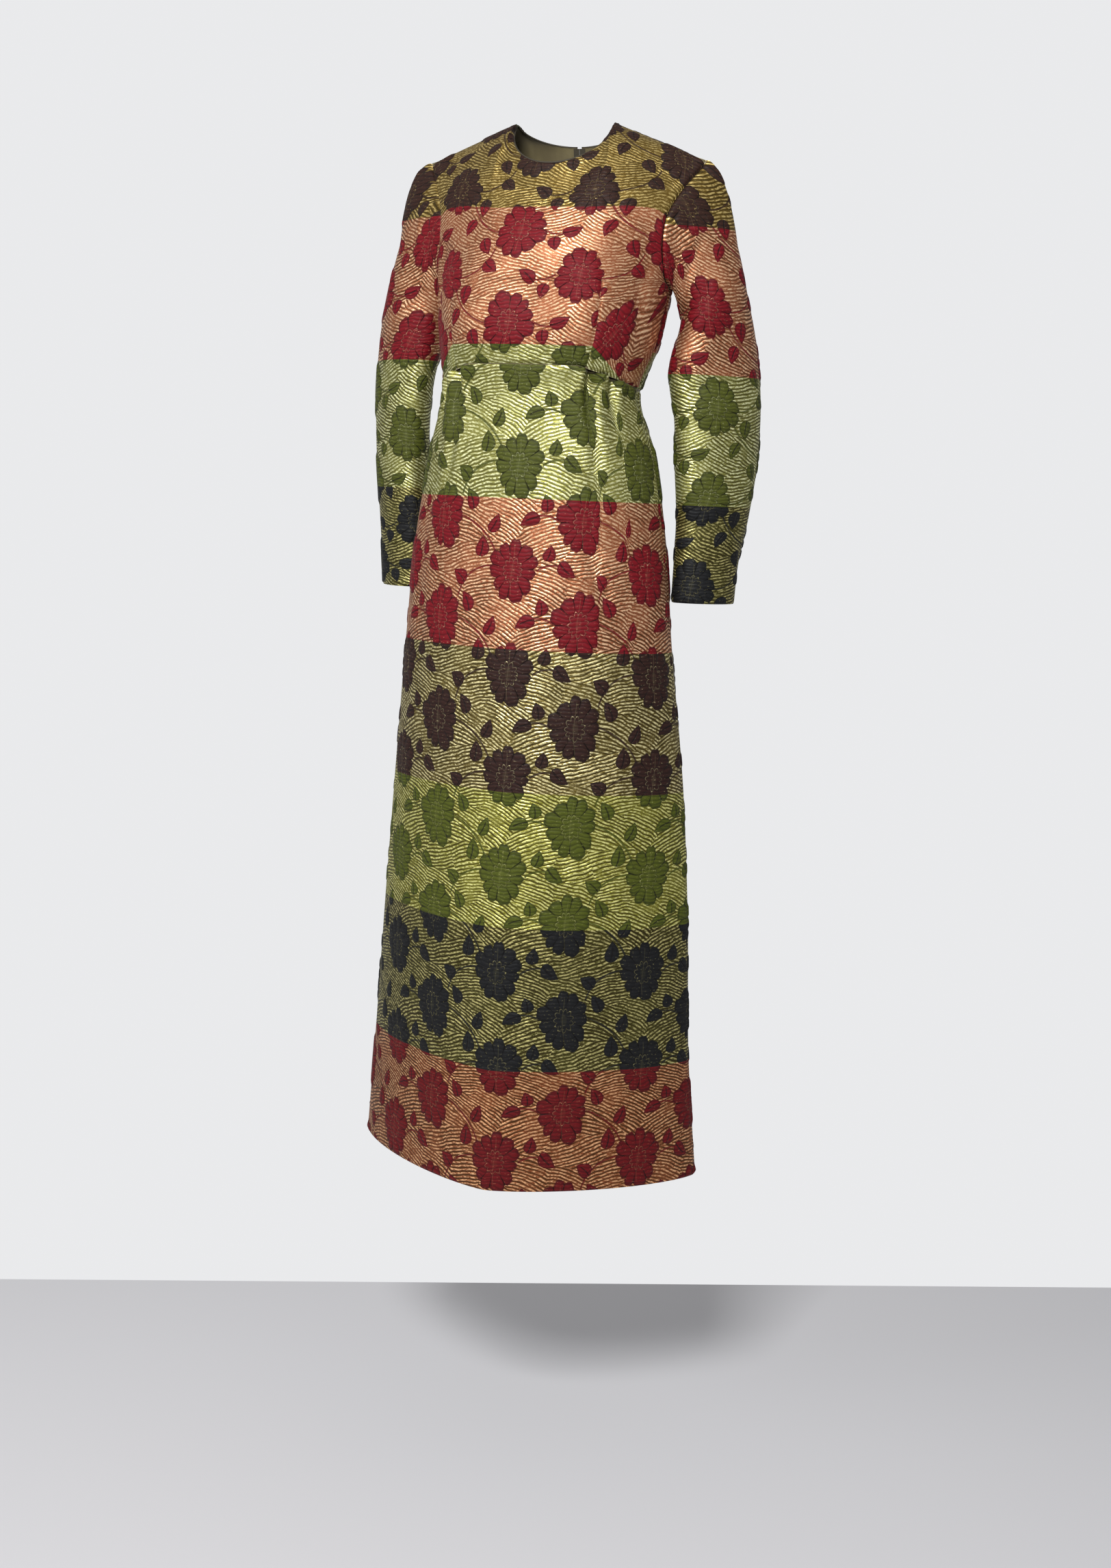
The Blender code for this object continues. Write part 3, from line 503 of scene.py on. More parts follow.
def skirtSurface(isFront, arcs, down):
    outward = -1 if isFront else 1
    arc, share = np.broadcast_arrays(arcs[None, :], down[:, None])
    topZ = seamZ(arc, isFront) - form["halfGap"]
    z = mix(topZ, form["hemZ"], share)
    across, length = shareAt(arc, z, isFront)
    x, y = bodyPoint(across, z, isFront)
    if isFront:
        move = tuckMove(arc, topZ - z)
    else:
        move = skirtForm["wave"] * np.cos(skirtForm["waves"] * math.pi * arc) * (1 - np.abs(arc) ** 6)
        move = move * ease((-z - skirtForm["waveFrom"]) / skirtForm["waveOver"])
    level = tableAt(levels, z)
    awayX, awayY = x - level[..., 1], y - level[..., 2] / 2
    size = np.hypot(awayX, awayY)
    x = x + awayX / size * move
    y = y + awayY / size * move
    y = np.where(np.abs(arc) > 0.9999, y + outward * form["halfGap"], y)
    grid = np.stack((x, y, z), axis=-1)
    return grid, np.stack((arc * length, -z), axis=-1)


def openForZip(grid, side):
    wide = np.where(grid[:, 0, 2] > form["zipEndZ"], form["zipHalf"], form["halfGap"])
    grid[:, :, 0] += side * wide[:, None] * bump1d(np.arange(grid.shape[1])[None, :], 2.2)


def armholeEdge(isFront, steps):  # the outer edge of the armhole, from the shoulder tip down, index 0 to 10
    high = -form["shoulderDrop"]
    underarm = (high - form["underarmZ"]) / (high - form["seamSideZ"])
    return bodiceSurface(isFront, np.array((1.0,)), np.array((1.0,)), underarm * (steps / 10) ** 1.3)[:, 0]


# z, x, y, long half, short half of the sleeves below their caps
leftSleeve = np.array((
    (-0.627, 0.2135, 0.022, 0.0465, 0.031),
    (-0.571, 0.2145, 0.027, 0.048, 0.031),
    (-0.511, 0.2185, 0.033, 0.054, 0.033),
    (-0.439, 0.2195, 0.036, 0.062, 0.035),
    (-0.367, 0.2175, 0.035, 0.0635, 0.036),
    (-0.296, 0.207, 0.033, 0.062, 0.038),
    (-0.231, 0.207, 0.024, 0.042, 0.042),
))
rightSleeve = np.array((
    (-0.627, 0.229, 0.040, 0.046, 0.031),
    (-0.571, 0.234, 0.042, 0.047, 0.031),
    (-0.511, 0.238, 0.043, 0.051, 0.032),
    (-0.439, 0.242, 0.043, 0.056, 0.034),
    (-0.367, 0.242, 0.040, 0.060, 0.034),
    (-0.296, 0.2335, 0.034, 0.060, 0.036),
    (-0.231, 0.210, 0.024, 0.045, 0.046),
))
sleeveForm = {
    "turn": math.radians(45),
    "capFall": 0.120,
    "underarmReach": 0.030,
    "underarmFall": 0.020,
    "tilt": 0.60,
    "capReach": {1: 0.043, -1: 0.050},
    "capStand": {1: 0.006, -1: 0.009},
    "capLength": 0.17,
    "capRows": 56,
    "armLength": 0.4,
    "step": 0.0031,
    "sides": 108,
    "clearance": 0.0036,
    "seamGap": 0.0003,
}


def sleeveRing(table, z, side, tilt, indexes):  # rings for heights z, points at indexes 0 to 20 round the arm
    ring = tableAt(table, z)[:, None, :]
    angle = sleeveForm["turn"] + 2 * math.pi * indexes[None, :] / 20
    c, s = math.cos(sleeveForm["turn"]), math.sin(sleeveForm["turn"])
    reachX = c * ring[..., 3] * np.cos(angle) + s * ring[..., 4] * np.sin(angle)
    reachY = s * ring[..., 3] * np.cos(angle) - c * ring[..., 4] * np.sin(angle)
    return np.stack((side * (ring[..., 1] + reachX), ring[..., 2] + reachY, z[:, None] + reachX * tilt), axis=-1)


def clearOfBody(grid, side):
    z = np.minimum(grid[..., 2], form["underarmZ"])
    level = tableAt(levels, z)
    isFront = grid[..., 1] < level[..., 2]
    reach = np.where(isFront, level[..., 4], level[..., 5])
    power = np.where(isFront, level[..., 6], level[..., 7])
    deep = np.minimum(1.0, np.abs(grid[..., 1] - level[..., 2]) / reach)
    bodyX = level[..., 1] + side * level[..., 3] * (1 - deep ** power) ** (1 / power)
    wanted = bodyX + side * sleeveForm["clearance"]
    share = np.where(side * (wanted - grid[..., 0]) > 0, ease((-grid[..., 2] - 0.196) / 0.012), 0.0)
    grid[..., 0] = mix(grid[..., 0], wanted, share)


def sleeveSurface(side):  # columns run from the underarm round the arm and back
    table = leftSleeve if side > 0 else rightSleeve
    count, seamGap = sleeveForm["sides"], sleeveForm["seamGap"]
    indexes = 20 * np.arange(count) / count
    onFront = indexes <= 10
    steps = np.where(onFront, indexes, 20 - indexes)
    start = np.where(onFront[:, None], armholeEdge(True, steps), armholeEdge(False, steps))
    start[:, 0] = np.abs(start[:, 0]) * side + side * seamGap
    start[:, 2] += seamGap * ease((-start[:, 2] - 0.15) / 0.06)
    first = sleeveRing(table, table[-1:, 0], side, sleeveForm["tilt"], indexes)[0]
    capLength = sleeveForm["capLength"]
    step = clothSteps(capLength, capLength / sleeveForm["capRows"], fineEnd=False)[:-1, None, None]
    top = 0.5 + 0.5 * np.cos(2 * math.pi * indexes / 20)[:, None]
    leave = np.concatenate((side * mix(sleeveForm["underarmReach"], sleeveForm["capReach"][side], top),
                            0 * top, 0 * top), axis=1)
    arrive = np.concatenate((side * 0.02 * top, 0 * top,
                             -mix(sleeveForm["underarmFall"], sleeveForm["capFall"], top)), axis=1)
    cap = hermite(step, start, leave, first, arrive)
    eased = sleeveForm["capStand"][side] * top[None, :, 0] ** 3 * np.sin(math.pi * np.minimum(1.0, step[..., 0] / 0.7))
    cap[..., 0] += side * eased
    cap[..., 2] += eased * 0.4
    share = clothSteps(sleeveForm["armLength"], sleeveForm["step"], fineStart=False)
    z = mix(table[-1, 0], table[0, 0], share)
    tilt = sleeveForm["tilt"] * (1 - ease(share / 0.8))[:, None]
    arm = sleeveRing(table, z, side, tilt, indexes)
    grid = roundJoin(np.concatenate((cap, arm)), len(cap))
    clearOfBody(grid[1:], side)
    grid = np.roll(grid, -count // 2, axis=1)
    if side > 0:
        grid = np.concatenate((grid[:, :1], grid[:, :0:-1]), axis=1)
    return grid


def roundJoin(grid, row, reach=14, passes=30):  # smooths the rows around one row of a grid
    made = grid.copy()
    weight = np.zeros((len(grid), 1, 1))
    first, last = max(1, row - reach), min(len(grid) - 1, row + reach)
    weight[first:last, 0, 0] = 0.5 * np.sin(math.pi * (np.arange(first, last) - first + 0.5) / (last - first))
    for _ in range(passes):
        inner = made[1:-1]
        made[1:-1] = inner + weight[1:-1] * ((made[:-2] + made[2:]) / 2 - inner)
    return made


def sleevePlaces(grid):  # round the arm from the outer side and down, with the underarm column twice
    ring = np.concatenate((grid, grid[:, :1]), axis=1)
    across = runs(ring, 1)
    middle = grid.shape[1] // 2
    return np.stack((across - across[:, middle:middle + 1], -ring[:, :, 2]), axis=-1)


def feedNode(node, values):  # values: its inputs in order, or by name or number
    for key, value in values.items() if isinstance(values, dict) else enumerate(values):
        if isinstance(value, Wire):
            node.id_data.links.new(value.socket, node.inputs[key])
        else:
            node.inputs[key].default_value = value


def addNode(tree, kind, values=(), **settings):
    node = tree.nodes.new("ShaderNode" + kind)
    for key, value in settings.items():
        setattr(node, key, value)
    feedNode(node, values)
    return node


def addWires(tree, kind, values=(), **settings):  # the outputs of a new node
    return [Wire(socket) for socket in addNode(tree, kind, values, **settings).outputs]


class Wire:  # a value in a node tree that can be added, multiplied and shaped
    def __init__(self, socket):
        self.socket = socket

    def math(self, operation, *others):
        return addWires(self.socket.id_data, "Math", (self, *others), operation=operation)[0]

    def smooth(self, low, high, start=0.0, end=1.0):  # a soft step between two values
        values = (self, low, high, start, end)
        return addWires(self.socket.id_data, "MapRange", values, interpolation_type="SMOOTHSTEP")[0]

    def fall(self, low, high):  # 1 up to the first value, 0 from the second on
        return self.smooth(low, high, 1.0, 0.0)

    def blend(self, first, second):  # from the first colour to the second
        return addWires(self.socket.id_data, "Mix", {0: self, 6: first, 7: second}, data_type="RGBA")[2]

    def sine(self):
        return self.math("SINE")

    def most(self, other):
        return self.math("MAXIMUM", other)

    def __abs__(self):
        return self.math("ABSOLUTE")

    def __add__(self, other):
        return self.math("ADD", other)

    def __sub__(self, other):
        return self.math("SUBTRACT", other)

    def __rsub__(self, other):
        return self * -1.0 + other

    def __mul__(self, other):
        return self.math("MULTIPLY", other)

    def __truediv__(self, other):
        return self.math("DIVIDE", other)


def vectorWire(operation, first, *others):
    outputs = addWires(first.socket.id_data, "VectorMath", (first, *others), operation=operation)
    return outputs[1 if operation == "LENGTH" else 0]


def noiseWire(place, scale, stretch=(1.0, 1.0, 1.0), detail=1.0):
    tree = place.socket.id_data
    moved = addWires(tree, "Mapping", {"Vector": place, "Scale": [scale * value for value in stretch]})[0]
    return addWires(tree, "TexNoise", {"Vector": moved, "Scale": 1.0, "Detail": detail})[0]


def newGroup(name, values):  # a group that takes a place on the cloth, and values that a material may change
    group = bpy.data.node_groups.new(name, "ShaderNodeTree")
    group.interface.new_socket(name="Place", in_out="INPUT", socket_type="NodeSocketVector")
    for label, value in values.items():
        socket = group.interface.new_socket(name=label, in_out="INPUT", socket_type="NodeSocketFloat")
        socket.default_value = value
    start = group.nodes.new("NodeGroupInput")
    return group, [Wire(start.outputs[label]) for label in ("Place", *values)]


def closeGroup(group, results):
    for label in results:
        group.interface.new_socket(name=label, in_out="OUTPUT", socket_type="NodeSocketFloat")
    feedNode(group.nodes.new("NodeGroupOutput"), results)
    return group


def makeMotifGroup():  # the woven blossoms, leaves and stems, the grooves and gold threads in them, and a mask for painted shade towards the edges of blossoms and leaves
    group, (place,) = newGroup("wovenMotifs", {})
    fray = (noiseWire(place, 700.0) - 0.5) * pattern["fray"]
    across, down, _ = addWires(group, "SeparateXYZ", (place,))
    wide, high, edge = pattern["wide"] / 2, pattern["high"] / 2, pattern["edge"]
    petalSwing, rimWaves = pattern["petalSwing"], pattern["rimWaves"]
    found = {label: [] for label in ("Blossom", "Leaf", "Stem", "Groove", "Thread", "PaintedShadeDome")}

    def near(x0, y0):
        return (across - x0).math("WRAP", wide, -wide), (down - y0).math("WRAP", high, -high)

    for x0, y0, halfWide, halfHigh, petals, turn in pattern["blossoms"]:
        x, y = near(x0, y0)
        x, y = x * (1 / halfWide), y * (1 / halfHigh)
        reach = (x * x + y * y).math("SQRT")
        angle = y.math("ARCTAN2", x)
        swing = (angle * 2 + turn).sine() * petalSwing[0] + (angle * 3 - turn).sine() * petalSwing[1]
        phase = angle * (petals / 2) + swing + turn
        lobe, notch = abs(phase.sine()), abs(phase.math("COSINE"))
        rim = (1.0 - lobe).math("POWER", pattern["rimPower"]) * -pattern["rimDepth"]
        rim = rim + (angle * 3 + turn).sine() * -rimWaves[0] + 1.0
        rim = rim + (angle * 5).sine() * -rimWaves[1] + (angle * (petals * 2)).sine() * 0.014
        fromRim = (rim - reach) * halfWide
        blossom = (fromRim + fray).smooth(-edge, edge)
        fromRing = reach - (notch * pattern["ringSwing"] + pattern["ring"])
        outside = fromRing.smooth(-0.01, 0.04)
        between = lobe.fall(0.02, 0.17) * fromRing.smooth(0.0, 0.3, 0.25, 1.0) * outside
        inner = notch.fall(0.06, 0.3) * (1.0 - outside) * reach.smooth(0.18, 0.3)
        groove = between.most(abs(fromRing).fall(0.012, 0.05) * 0.35).most(inner * 0.3)
        # mask for painted shade: each petal darker towards its rim, at its notches and between petals
        paintedRoundShade = fromRim.smooth(0.0, pattern["paintedShadeWidth"]) * (between * -0.6 + 1.0)
        upright = abs(x + (y * 3.0 + turn).sine() * 0.05).fall(0.005, 0.022) * abs(y).fall(0.75, 0.85)
        gilt = abs(fromRing + 0.035).fall(0.006, 0.022)
        turns = halfWide * pattern["eyeThreads"]
        hatch = ((x + y * 0.6) * turns).sine() * ((y * 0.6 - x) * turns).sine()
        eye = (x * x * 2.6 + y * y * 0.9).math("SQRT").fall(0.16, 0.22)
        thread = (upright * 0.3).most(hatch.smooth(0.15, 0.6) * eye * 0.4).most(gilt * 0.75)
        found["Blossom"].append(blossom)
        found["Groove"].append(groove * blossom)
        found["Thread"].append(thread * blossom)
        found["PaintedShadeDome"].append(paintedRoundShade * lobe.smooth(0.0, 0.9, 0.72, 1.0))
    for x0, y0, length, width, heading in pattern["leaves"]:
        x, y = near(x0, y0)
        a = math.radians(heading)
        along = (x * math.cos(a) + y * math.sin(a)) * (2 / length)
        beside = (x * -math.sin(a) + y * math.cos(a)) * (2 / length)
        held = along.most(-1.0).math("MINIMUM", 1.0)
        half = (held + 1.0).math("SQRT") * (1.0 - held) * (width / length / pattern["leafPeak"])
        bent = beside + along * along * pattern["leafBend"]
        inside = (half - abs(bent)) * (length / 2)
        leaf = (inside + fray).smooth(-edge * 0.4, edge)
        found["Leaf"].append(leaf)
        found["Groove"].append(abs(bent).fall(0.03, 0.09) * leaf * along.fall(0.3, 0.5))
        # mask for painted shade: each leaf darker towards its edge
        found["PaintedShadeDome"].append(inside.smooth(0.0, pattern["leafEdge"]))
    for x1, y1, x2, y2, bow in pattern["stems"]:
        x, y = near((x1 + x2) / 2, (y1 + y2) / 2)
        length = math.hypot(x2 - x1, y2 - y1)
        c, s = (x2 - x1) / length, (y2 - y1) / length
        along = (x * c + y * s) * (2 / length)
        beside = x * s + y * -c - (1.0 - along * along) * bow
        line = abs(beside).fall(pattern["stemHalf"] - pattern["stemBlur"], pattern["stemHalf"] + pattern["stemBlur"])
        found["Stem"].append(line * abs(along).fall(0.97, 1.0))
    results = {}
    for label, values in found.items():
        results[label] = values[0]
        for value in values[1:]:
            results[label] = results[label].most(value)
    return closeGroup(group, results)


# Bundles of curved ridges: across, down, direction in degrees, radius (above 0: its centre lies below)
bundles = (
    (0.047, 0.017, 20, 0.130), (-0.010, 0.054, 24, 0.140), (-0.039, 0.019, -8, 0.150), (-0.064, 0.074, 24, 0.130),
    (0.042, 0.091, -18, 0.160), (0.105, -0.008, -16, -0.160), (0.134, 0.083, 12, 0.150), (0.138, 0.113, -16, 0.150),
    (0.100, 0.024, 18, 0.140),
)
weave = {
    "ridgeSpacing": 0.0047,
    "wander": 0.007,
    "wanderScale": 38.0,
    "calmScale": 17.0,
    "patchScale": 26.0,
    "heightScale": 120.0,
    "dashScale": 420.0,
    "fineScale": 1300.0,
    "middle": 0.58,
    "ribs": 1150.0,
    "speckScale": 520.0,
}


def makeRippleGroup():  # bundles of curved ridges in the ground of the cloth, with bright metal floats and their painted glints
    group, (place, spacing, strength) = newGroup("rippledGround", {"Spacing": weave["ridgeSpacing"], "Strength": 1.0})
    wander = addWires(group, "TexNoise", {"Vector": place, "Scale": weave["wanderScale"], "Detail": 1.0})[1]
    reach = weave["wander"]
    pulled = vectorWire("MULTIPLY_ADD", wander, (reach, reach, 0), (-reach / 2, -reach / 2, 0))
    moved = vectorWire("ADD", place, pulled)
    half = (pattern["wide"] / 2, pattern["high"] / 2, 1)
    best = arc = None
    for x0, y0, heading, radius in bundles:
        away = vectorWire("WRAP", vectorWire("SUBTRACT", moved, (x0, y0, 0)), half, tuple(-value for value in half))
        far = vectorWire("LENGTH", away)
        a = math.radians(heading)
        fromCentre = vectorWire("SUBTRACT", away, (-math.sin(a) * radius, math.cos(a) * radius, 0))
        if best is None:
            best, arc = far, fromCentre
        else:
            nearer = far.math("LESS_THAN", best)
            arc = addWires(group, "Mix", {0: nearer, 4: arc, 5: fromCentre}, data_type="VECTOR")[1]
            best = far.math("MINIMUM", best)
    turns = vectorWire("LENGTH", arc) / spacing + (noiseWire(place, 70.0) - 0.5) * 0.5
    wave = (turns * (2 * math.pi)).sine() * 0.5 + 0.5
    height = noiseWire(place, weave["heightScale"], (0.6, 1.0, 1.0)).smooth(0.3, 0.55, 0.6, 1.0)
    calm = noiseWire(place, weave["calmScale"]).fall(0.34, 0.58)
    patch = noiseWire(place, weave["patchScale"]).smooth(0.63, 0.74)
    across, down, _ = addWires(group, "SeparateXYZ", (place,))
    hatch = ((across + down) / spacing * 9.0).sine() * ((across - down) / spacing * 9.0).sine() * 0.5 + 0.5
    ridge = wave * height * (patch * -0.7 + 1.0) + hatch * patch * 0.5
    ridge = (ridge - weave["middle"]) * ((calm * -0.45 + 1.1) * strength) + weave["middle"]
    # mask of the bright metal floats on the ridge crests, which also places the painted glints
    dash = noiseWire(place, weave["dashScale"], (0.5, 1.0, 1.0)).smooth(0.36, 0.60)
    fine = noiseWire(place, weave["fineScale"], (0.6, 1.0, 1.0)).smooth(0.58, 0.70)
    floatsAndPaintedGlint = dash * ridge.smooth(0.35, 0.85) + fine * ridge.smooth(0.1, 0.6, 0.15, 0.6)
    return closeGroup(group, {"Ridge": ridge, "FloatsAndPaintedGlint": floatsAndPaintedGlint.math("MINIMUM", 1.0)})


def makeFloatGroup():  # fine ribs across the blossoms, with a few gold specks
    group, (place,) = newGroup("petalFloats", {})
    down = addWires(group, "SeparateXYZ", (place,))[1]
    rib = (down * weave["ribs"] + noiseWire(place, 45.0, detail=2.0) * 15.0).sine() * 0.5 + 0.5
    speck = noiseWire(place, weave["speckScale"], (0.55, 1.0, 1.0)).smooth(0.62, 0.72)
    return closeGroup(group, {"Rib": rib, "Speck": speck * rib.smooth(0.4, 0.9)})


# Colours of the woven bands: ground, its bright floats, which also give the painted highlight on glints, and the
# blossoms
bandColours = {
    "green": ((0.235, 0.228, 0.050), (0.86, 0.87, 0.50), (0.068, 0.078, 0.009)),
    "moss": ((0.245, 0.232, 0.030), (0.86, 0.84, 0.33), (0.070, 0.084, 0.007)),
    "gilt": ((0.145, 0.088, 0.015), (0.68, 0.52, 0.20), (0.028, 0.010, 0.006)),
    "brown": ((0.155, 0.113, 0.026), (0.86, 0.77, 0.41), (0.028, 0.010, 0.007)),
    "red": ((0.350, 0.110, 0.047), (0.95, 0.64, 0.39), (0.165, 0.003, 0.008)),
    "black": ((0.066, 0.060, 0.012), (0.60, 0.54, 0.22), (0.0080, 0.0085, 0.0095)),
    "copper": ((0.255, 0.072, 0.025), (0.86, 0.49, 0.25), (0.125, 0.003, 0.005)),
}
# Where each band starts below the neck, and the strength of its ridges at the top and half a metre down
cloths = {
    "bodice": (((-0.1, "green"), (-0.028, "gilt"), (0.120, "red"), (0.304, "green")), (0.6, 0.6)),
    "skirt": (((0.0, "green"), (0.493, "red"), (0.689, "brown"), (0.877, "moss"), (1.066, "black"),
               (1.261, "copper")), (0.6, 1.0)),
    "sleeveLeft": (((0.0, "gilt"), (0.141, "red"), (0.328, "green"), (0.501, "black")), (0.8, 0.7)),
    "sleeveRight": (((0.0, "gilt"), (0.130, "red"), (0.318, "green"), (0.495, "black")), (0.8, 0.7)),
}
bandReach = 0.7  # the ramps of colour begin this far above the first blossom and are 2 metres long


def bandStarts(kind, bands):  # where each band starts on the cloth, from the lowest place up
    starts = [float(clothDown(np.array(down), kind)) for down, _ in bands]
    colours = [colour for _, colour in bands]
    if starts[1] > starts[0]:
        return [(-bandReach, colours[0])] + list(zip(starts[1:], colours[1:]))
    return [(-bandReach, colours[-1])] + list(zip(starts[:0:-1], colours[-2::-1]))


def bandRamp(down, starts, kind):
    node = addNode(down.socket.id_data, "ValToRGB", ((down + bandReach) * 0.5,))
    elements = node.color_ramp.elements
    node.color_ramp.interpolation = "CONSTANT"
    while len(elements) < len(starts):
        elements.new(0.5)
    for element, (start, _) in zip(elements, starts):
        element.position = (start + bandReach) / 2
    for element, (_, colour) in zip(elements, starts):
        element.color = (*bandColours[colour][kind], 1.0)
    return Wire(node.outputs["Color"])


def newMaterial(name):
    material = bpy.data.materials.new(name)
    material.use_nodes = True
    tree = material.node_tree
    return material, tree, tree.nodes["Principled BSDF"]


# shader settings of the brocade, and how strong its painted shade is
finishAndPaintedShade = {
    "groundRough": 0.49,
    "groundMetal": 0.68,
    "petalRough": 0.66,
    "sheen": 0.02,
    "ridgeDepth": 0.0007,
    "ribDepth": 0.00038,
    "grooveDepth": 0.0010,
    "stemDepth": 0.0010,
    # how dark the painted shade gets in the valleys between the ridges
    "paintedValleyShade": 0.82,
    "ribShade": 0.38,
    # how dark the painted shade gets towards the edges of petals and leaves
    "paintedEdgeShade": 0.42,
    # how dark the painted shade gets in the grooves between petals
    "paintedGrooveShade": 0.70,
    "goldShare": 0.75,
    "stemShare": 0.9,
}


def brocade(kind, groups):
    bands, ridges = cloths[kind]
    material, tree, shader = newMaterial("brocade" + kind[0].upper() + kind[1:])
    place = addWires(tree, "UVMap", uv_map="cloth")[0]
    down = addWires(tree, "SeparateXYZ", (place,))[1]
    blossom, leaf, stem, groove, thread, dome = addWires(tree, "Group", {"Place": place}, node_tree=groups["motifs"])
    ridge, floatsAndPaintedGlint = addWires(tree, "Group", {"Place": place, "Strength": down.smooth(0.05, 0.5, *ridges)},
                            node_tree=groups["ripples"])
    rib, speck = addWires(tree, "Group", {"Place": place}, node_tree=groups["floats"])
    starts = bandStarts(kind, bands)
    # the second colour is the bright floats' own colour, used as well for the painted highlight on glints
    ground, floatAndHighlight, petal = [bandRamp(down, starts, index) for index in range(3)]
    black = (0.0, 0.0, 0.0, 1)
    # painted shade: the ground darkened to a near black olive in the valleys between the ridges
    valleyShadePainted = ridge.smooth(0.05, 0.50, finishAndPaintedShade["paintedValleyShade"], 0.0).blend(ground, (0.030, 0.020, 0.006, 1))
    puffed = blossom.most(leaf)
    gold = (thread * speck.smooth(0.0, 0.25, 0.2, 1.0) + speck * puffed * 0.22).math("MINIMUM", 1.0)
    ribbed = rib.smooth(0.0, 0.5, finishAndPaintedShade["ribShade"], 0.0).blend(petal, black)
    # painted shade: petals and leaves darker towards their edges and between petals, as rounded cloth would look under
    # light
    paintedRoundShade = dome.smooth(0.0, 1.0, finishAndPaintedShade["paintedEdgeShade"], 0.0).blend(ribbed, black)
    # painted shade: the grooves between petals darkened nearly to black
    grooveShadePainted = (groove * finishAndPaintedShade["paintedGrooveShade"]).blend(paintedRoundShade, (0.004, 0.002, 0.002, 1))
    # painted highlight: the bright float colour laid on the ridge crests where they glint, over the painted valley
    # shade
    stemmed = (stem * finishAndPaintedShade["stemShare"]).blend(floatsAndPaintedGlint.blend(valleyShadePainted, floatAndHighlight), ribbed)
    colour = puffed.blend(stemmed, (gold * finishAndPaintedShade["goldShare"]).blend(grooveShadePainted, floatAndHighlight))
    covered = (puffed - gold * 0.7).most(0.0).most(stem * 0.7)
    rough = covered * (finishAndPaintedShade["petalRough"] - finishAndPaintedShade["groundRough"]) + finishAndPaintedShade["groundRough"]
    height = ridge * (1.0 - puffed) * finishAndPaintedShade["ridgeDepth"] + rib * puffed * finishAndPaintedShade["ribDepth"]
    height = height + stem * -finishAndPaintedShade["stemDepth"] + groove * -finishAndPaintedShade["grooveDepth"]
    feedNode(shader, {
        "Base Color": colour,
        "Metallic": covered * -finishAndPaintedShade["groundMetal"] + finishAndPaintedShade["groundMetal"],
        "Roughness": rough + floatsAndPaintedGlint * -0.12,
        "Normal": addWires(tree, "Bump", {"Strength": 1.0, "Distance": 1.0, "Height": height})[0],
        "Sheen Weight": finishAndPaintedShade["sheen"],
        "Sheen Roughness": 0.4,
        "Specular IOR Level": 0.2,
    })
    return material


def liningMaterial():
    material, tree, shader = newMaterial("lining")
    place = addWires(tree, "UVMap", uv_map="cloth")[0]
    slub = noiseWire(place, 40.0, (1.0, 0.4, 1.0), 2.0)
    feedNode(shader, {
        "Base Color": slub.smooth(0.3, 0.7).blend((0.12, 0.095, 0.045, 1), (0.16, 0.13, 0.06, 1)),
        "Roughness": noiseWire(place, 900.0, (1.0, 0.3, 1.0)).smooth(0.2, 0.8, 0.42, 0.58),
        "Sheen Weight": 0.3,
    })
    return material


def metalMaterial(name, colour, rough):
    material, tree, shader = newMaterial(name)
    worn = noiseWire(Wire(addNode(tree, "TexCoord").outputs["Object"]), 700.0, detail=2.0)
    dark = [value * 0.55 for value in colour]
    feedNode(shader, {
        "Base Color": worn.smooth(0.35, 0.65).blend((*dark, 1), (*colour, 1)),
        "Roughness": worn.smooth(0.3, 0.7, rough + 0.12, rough),
        "Metallic": 1.0,
    })
    return material


def twillMaterial(name, colour):
    material, tree, shader = newMaterial(name)
    across, _, up = addWires(tree, "SeparateXYZ", (Wire(addNode(tree, "TexCoord").outputs["Object"]),))
    rib = ((across + up) * 7000.0).sine() * 0.5 + 0.5
    dark = [value * 0.5 for value in colour]
    feedNode(shader, {"Base Color": rib.blend((*dark, 1), (*colour, 1)), "Roughness": rib * -0.15 + 0.8})
    return material


def edgeFades(grid, closed, ends, reach=0.004):  # relief dies away at the seams, and the cloth turns in
    down = runs(grid, 0)
    top, bottom = down, down[-1:] - down
    fade = ease(top / reach) * ease(bottom / reach)
    dips = [seamDip(top, *ends[0]), seamDip(bottom, *ends[1])]
    if not closed:
        across = runs(grid, 1)
        left, right = across, across[:, -1:] - across
        fade = fade * ease(left / reach) * ease(right / reach)
        dips += [seamDip(left), seamDip(right)]
    return fade, dips


